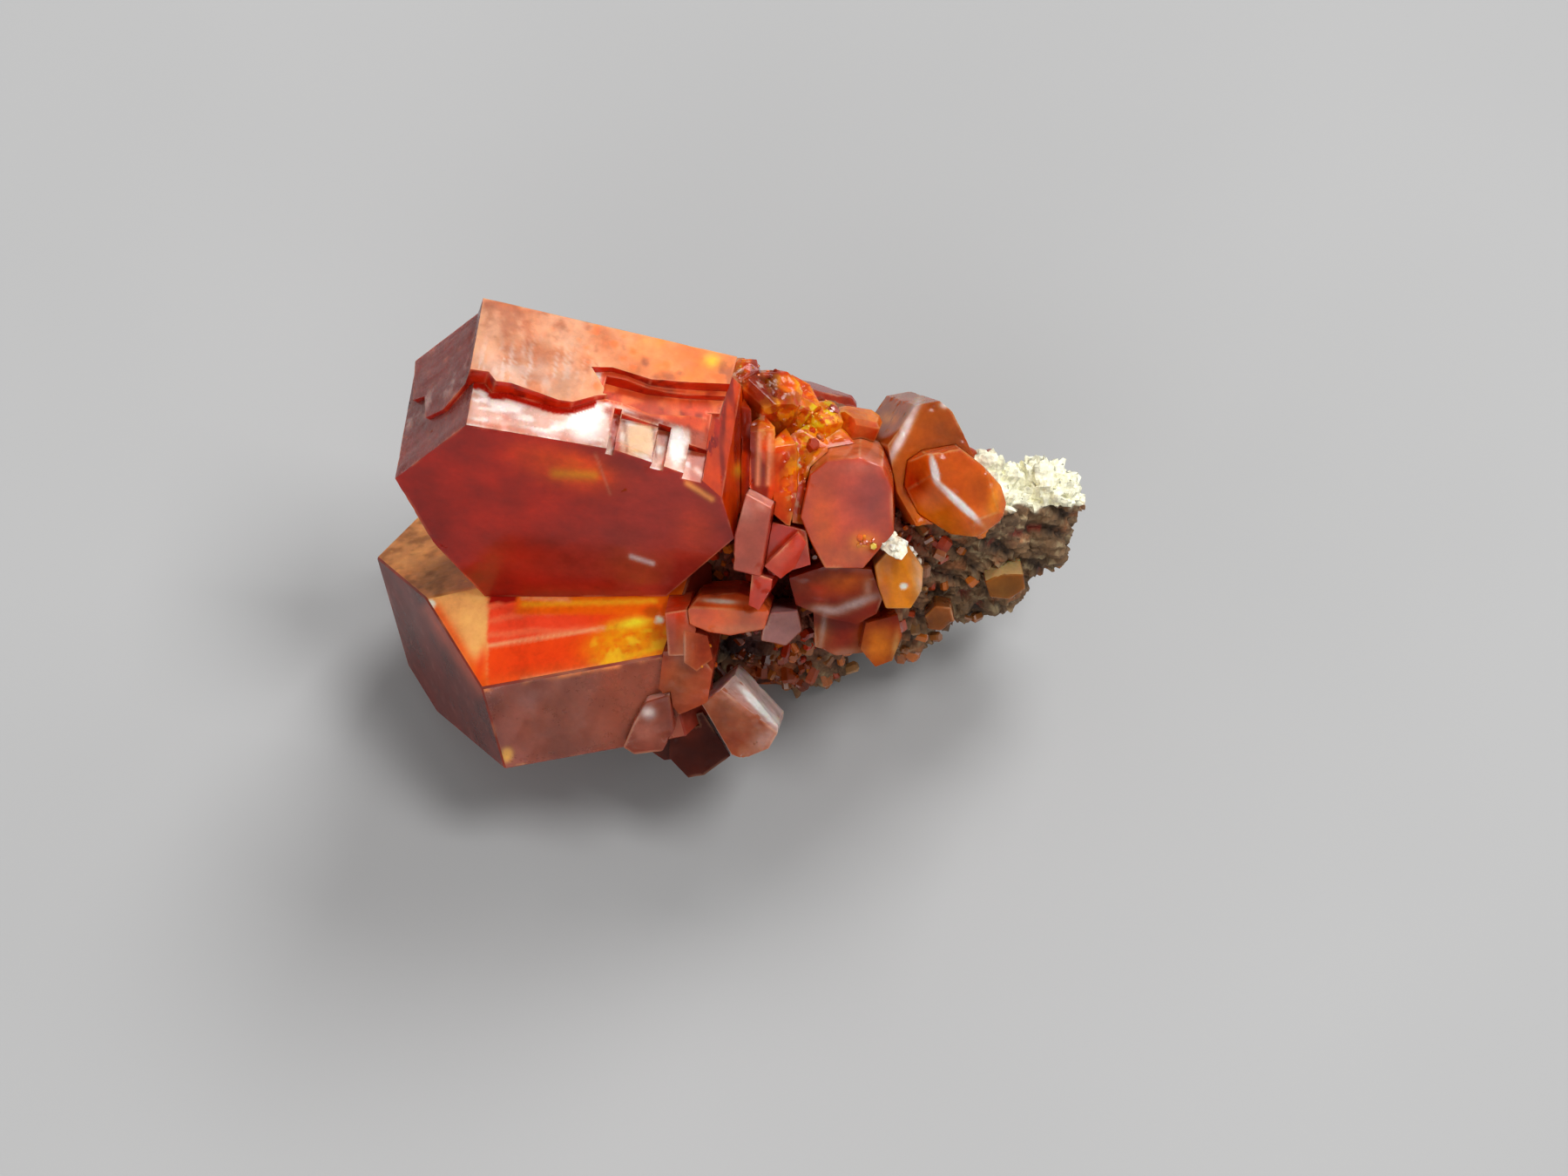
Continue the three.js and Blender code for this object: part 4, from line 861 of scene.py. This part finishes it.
# painted shade: darker in the recesses between layers and blocks
vc = mixc(vc, lin(46, 30, 18), cav * 0.92)
vc = mixc(vc, lin(140, 42, 20), smooth(noise(V, 2.4, 87), 0.42, 0.6) * cav * 0.8)
vc = mixc(vc, lin(255, 252, 222), np.clip(crust_mask * (1.5 + 0.4 * f8), 0, 1))
# painted shade: a near-black patch in the dark hole low on the rock, under the plate
hollow_shade = blob(X, Y, 850, 742, 30, 20, 0, 4) * smooth(Z, -330, -270)
vc = mixc(vc, lin(34, 10, 4), np.clip(hollow_shade * 1.1, 0, 1))
among = blob(X, Y, 930, 600, 130, 150, 0, 5)
vc = mixc(vc, lin(120, 28, 8), among * 0.9)
low_druse = blob(X, Y, 874, 778, 36, 20, -14, 4) * smooth(Z, -340, -290)
vc = mixc(vc, lin(176, 78, 14), low_druse)
vc = mixc(vc, lin(70, 24, 8), low_druse * smooth(f8, 0.0, 0.4))
put_layers(me, vc[vi], 0.7, 0.0)
me.transform(Matrix.Scale(0.001, 4))
smooth_by_angle(me, 38)
me.materials.clear()
me.materials.append(mat_rock)
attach(rock, "root")
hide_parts("matrix_rock")


# ---------------------------------------------------------------------- druse
from mathutils.bvhtree import BVHTree


def bvh_of(nodes):
    vs, fs = [], []
    for n in nodes:
        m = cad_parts[n].data
        off = len(vs)
        vs += [tuple(v.co * 1000) for v in m.vertices]
        fs += [tuple(off + k for k in f.vertices) for f in m.polygons]
    return BVHTree.FromPolygons(vs, fs)


def surface_samples(V, F, count, rng):
    a, b, c = V[F[:, 0]], V[F[:, 1]], V[F[:, 2]]
    n = np.cross(b - a, c - a)
    area = np.linalg.norm(n, axis=1)
    cum = np.cumsum(area)
    k = np.searchsorted(cum, rng.random_sample(count) * cum[-1])
    r1, r2 = np.sqrt(rng.random_sample(count)), rng.random_sample(count)
    P = a[k] * (1 - r1)[:, None] + b[k] * (r1 * (1 - r2))[:, None] + c[k] * (r1 * r2)[:, None]
    return P, n[k] / np.maximum(area[k], 1e-12)[:, None]


def tris_of(me, scale=1.0):
    V = np.empty(len(me.vertices) * 3); me.vertices.foreach_get("co", V); V = V.reshape(-1, 3) * scale
    me.calc_loop_triangles()
    F = np.empty(len(me.loop_triangles) * 3, dtype=np.int32)
    me.loop_triangles.foreach_get("vertices", F)
    return V, F.reshape(-1, 3)


def tiny_crystals(name, places, material, rng):
    """One joined mesh of small six-sided crystals: (point, axis, radius, length, colour)."""
    vs, fs, cols = [], [], []
    ang = np.arange(6) * math.pi / 3
    for p, ax, r, l, colour in places:
        ax = unit(ax)
        s = unit(np.cross(ax, [0.31, 0.52, 0.79]))
        t = np.cross(ax, s)
        turn = rng.random_sample() * math.pi / 3
        ring = np.cos(ang + turn)[:, None] * s + np.sin(ang + turn)[:, None] * t
        rr = r * (0.85 + 0.3 * rng.random_sample(6))[:, None]
        off = len(vs)
        bot = p - ax * l * 0.35 + ring * rr * 0.9
        mid = p + ax * l * 0.8 + ring * rr
        top = p + ax * l + ring * rr * (0.5 + 0.3 * rng.random_sample())
        vs += [tuple(q) for q in np.concatenate([bot, mid, top])]
        fs.append(tuple(off + k for k in (5, 4, 3, 2, 1, 0)))
        fs.append(tuple(off + 12 + k for k in range(6)))
        for k in range(6):
            j = (k + 1) % 6
            fs.append((off + k, off + j, off + 6 + j, off + 6 + k))
            fs.append((off + 6 + k, off + 6 + j, off + 12 + j, off + 12 + k))
        shade = np.array(colour) * (0.75 + 0.5 * rng.random_sample())
        for n_corners in [6, 6] + [4] * 12:
            cols += [np.clip(shade * (0.85 + 0.3 * rng.random_sample()), 0, 1)] * n_corners
    me = bpy.data.meshes.new(name)
    V = np.array(vs)
    V[:, 2] = np.maximum(V[:, 2], 0.01)
    V = np.minimum(np.maximum(V, BOX_LO - 0.05), BOX_HI + 0.05)
    me.from_pydata((V * 0.001).tolist(), [], fs)
    me.validate()
    put_layers(me, np.array(cols), 0.14, 0.3)
    me.materials.append(material)
    ob = bpy.data.objects.new(name, me)
    bpy.context.scene.collection.objects.link(ob)
    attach(ob, "root")
    return ob


CRYSTALS = [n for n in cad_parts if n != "matrix_rock"]
near_crystal = bvh_of(CRYSTALS)
near_rock = bvh_of(["matrix_rock"])
rng = np.random.RandomState(7)
RV, RF = tris_of(rock.data, 1000.0)
P, Nn = surface_samples(RV, RF, 5200, rng)
X, Y, Z = sheet(P)
gap = blob(X, Y, 930, 620, 120, 130, 0, 4) * (Nn @ TOWARD > -0.1)
holl = blob(X, Y, 880, 765, 62, 40, -10, 4) * (Nn @ TOWARD > -0.3)
edge = smooth(Y + 0.32 * X, 1040, 1075) * smooth(X, 880, 960) * smooth(1150 - X, 0, 120) * (Nn @ TOWARD > -0.5) * 0.4
back = smooth(fbm(P, 0.55, 2, 501), 0.05, 0.3) * (Nn @ TOWARD < -0.1) * smooth(P[:, 2], 0.3, 1.0) * 0.6
chance = np.maximum.reduce([gap, holl, edge, back])
keep = rng.random_sample(len(P)) < chance
places = []
for p, n, g, h, e, b in zip(P[keep], Nn[keep], gap[keep], holl[keep], edge[keep], back[keep]):
    big = 0.05 + 0.10 * rng.random_sample() ** 2 + (0.05 if b > 0 else 0)
    hit = near_crystal.find_nearest(Vector(p))
    if hit[3] is None or hit[3] < big * 1.1 or p[2] < big * 1.6:
        continue
    ax = n + 0.75 * (rng.random_sample(3) - 0.5)
    if g > 0.3:
        colour = lin(*((190, 50, 14) if rng.random_sample() < 0.6 else (222, 110, 30)))
    elif h > 0.3:
        colour = lin(*((160, 62, 12) if rng.random_sample() < 0.6 else (196, 112, 44)))
    elif b > 0:
        colour = lin(*((178, 66, 26) if rng.random_sample() < 0.5 else (206, 110, 36)))
    else:
        colour = lin(*((160, 96, 46) if rng.random_sample() < 0.6 else (196, 140, 84)))
    places.append((p, ax, big, big * (1.2 + 1.2 * rng.random_sample()), colour))
tiny_crystals("druse_on_rock", places, mat_druse, rng)

# bright small crystals grown over the right of the ridge and under the plate; the pale yellow ones are painted glints
places = []
for node, cx, cy, rx, ry, count, size in (("ridge_crystal_group", 938, 482, 22, 34, 9, 0.12), ("ridge_crystal_group", 940, 480, 20, 34, 46, 0.032),
                                          ("ridge_crystal_group", 928, 545, 18, 44, 22, 0.03), ("ridge_crystal_group", 850, 544, 8, 12, 5, 0.045),
                                          ("ridge_crystal_group", 862, 424, 30, 14, 10, 0.03), ("ridge_crystal_group", 960, 532, 10, 8, 6, 0.05),
                                          ("plate_crystal", 992, 622, 13, 9, 12, 0.055), ("side_crystal_group", 806, 762, 16, 26, 3, 0.05)):
    NV, NF = tris_of(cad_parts[node].data, 1000.0)
    P, Nn = surface_samples(NV, NF, 6000, rng)
    X, Y, Z = sheet(P)
    w = blob(X, Y, cx, cy, rx, ry, 0, 3) * (Nn @ TOWARD > 0.0)
    idx = np.nonzero(rng.random_sample(len(P)) < w * 0.9)[0][:count]
    for k in idx:
        roll = rng.random_sample()
        # painted glints: the pale yellow colour
        c = lin(*((255, 206, 70) if roll < 0.25 else (255, 150, 20) if roll < 0.6 else (226, 96, 14)))
        if size > 0.08:
            c = lin(*((236, 116, 14) if roll < 0.35 else (200, 62, 8) if roll < 0.6 else (190, 96, 30) if roll < 0.8 else (255, 160, 20)))
        r = size * (0.6 + 0.9 * rng.random_sample())
        tilt = 1.4 if size > 0.08 else 0.9
        places.append((P[k] - Nn[k] * r * (0.55 if size > 0.08 else 0.2), Nn[k] + tilt * (rng.random_sample(3) - 0.5), r, r * (0.8 + 0.6 * rng.random_sample()), c))
tiny_crystals("sparkling_druse", places, mat_gold, rng)


def crust_paint(P, N, dist):
    n2 = fbm(P, 6.0, 3, 401)
    c = mixc(start(P, lin(246, 238, 212)), lin(214, 180, 140), smooth(n2, 0.1, 0.6))
    return c, 0.6, 0.0


def crumbly(P, Nn, dist):
    a, b, w = cells(P, 7.0, 403)
    return 0.05 * (0.5 - a) + 0.03 * (w - 0.5)


grown_crystal("pale_grain", crumbly, crust_paint, mat_crust, length=0.05, bevel=0.03, chips=0.05, chip_scale=5.0, seed=402, gain=(1, 1, 1))

places = []
for node, cx, cy, rx, ry, count in (("pale_grain", 1027, 626, 20, 14, 16), ("plate_crystal", 1008, 630, 8, 8, 5), ("amber_crystal", 1046, 636, 10, 8, 6)):
    NV, NF = tris_of(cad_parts[node].data, 1000.0)
    P, Nn = surface_samples(NV, NF, 3000, rng)
    X, Y, Z = sheet(P)
    w = blob(X, Y, cx, cy, rx, ry, 0, 3) * (Nn @ TOWARD > -0.2)
    for k in np.nonzero(rng.random_sample(len(P)) < w * 0.9)[0][:count]:
        r = 0.05 + 0.06 * rng.random_sample()
        places.append((P[k] - Nn[k] * r * 0.3, Nn[k] + 1.2 * (rng.random_sample(3) - 0.5), r, r, lin(255, 248, 226)))
tiny_crystals("pale_crumbs", places, mat_crust, rng)

# --------------------------------------------------------------------- stage
bpy.ops.mesh.primitive_plane_add(size=1.6, location=(0, 0.2, 0))
floor = bpy.context.object
floor.name = "floor"
fm, fnt, fp, fo = node_group_material("pale_floor")
ftc = fnt.nodes.new("ShaderNodeTexCoord")
fno = fnt.nodes.new("ShaderNodeTexNoise"); fno.inputs["Scale"].default_value = 60.0
fnt.links.new(ftc.outputs["Object"], fno.inputs["Vector"])
fra = fnt.nodes.new("ShaderNodeMapRange"); fra.inputs["To Min"].default_value = 0.37; fra.inputs["To Max"].default_value = 0.41
fnt.links.new(fno.outputs["Fac"], fra.inputs["Value"])
fco = fnt.nodes.new("ShaderNodeCombineColor")
for k in range(3):
    fnt.links.new(fra.outputs["Result"], fco.inputs[k])
fnt.links.new(fco.outputs["Color"], fp.inputs["Base Color"])
fp.inputs["Roughness"].default_value = 0.85
floor.data.materials.append(fm)

MID = Vector((0.0, 0.0, 0.006))


def softbox(name, direction, distance, size, watts, colour=(1, 1, 1), height=None):
    li = bpy.data.lights.new(name, "AREA")
    li.shape = "RECTANGLE"
    li.size = size
    li.size_y = height or size
    li.energy = watts
    li.color = colour
    o = bpy.data.objects.new(name, li)
    bpy.context.scene.collection.objects.link(o)
    d = Vector(direction).normalized()
    o.location = MID + d * distance
    o.rotation_euler = d.to_track_quat("Z", "Y").to_euler()
    return o


softbox("key", (0.42, -0.10, 1.0), 0.55, 0.18, 1.5)
softbox("top_back", (0.32, 0.555, 0.765), 0.5, 0.2, 1.6)
softbox("fill_left", (-0.9, -0.5, 0.5), 0.6, 0.35, 0.35)
softbox("fill_front", (-0.15, -1.0, 0.6), 0.6, 0.4, 0.8)
softbox("rim_right", (0.9, 0.35, 0.35), 0.6, 0.2, 0.35)

world = bpy.data.worlds.new("studio")
bpy.context.scene.world = world
world.use_nodes = True
world.node_tree.nodes["Background"].inputs["Color"].default_value = (1.0, 1.0, 1.0, 1.0)
world.node_tree.nodes["Background"].inputs["Strength"].default_value = 0.32

cam_data = bpy.data.cameras.new("camera")
cam_data.sensor_width = 36.0
cam_data.lens = 400.0
cam_data.clip_start = 0.01
cam_data.clip_end = 5.0
cam = bpy.data.objects.new("camera", cam_data)
bpy.context.scene.collection.objects.link(cam)
target = Vector(S(900, 675, 0)) * 0.001
cam.location = target + Vector((0, -0.5, ST)) * 0.4
cam.rotation_euler = (math.radians(30), 0, 0)
bpy.context.scene.camera = cam
bpy.context.scene.view_settings.view_transform = "Standard"

bpy.context.view_layer.update()
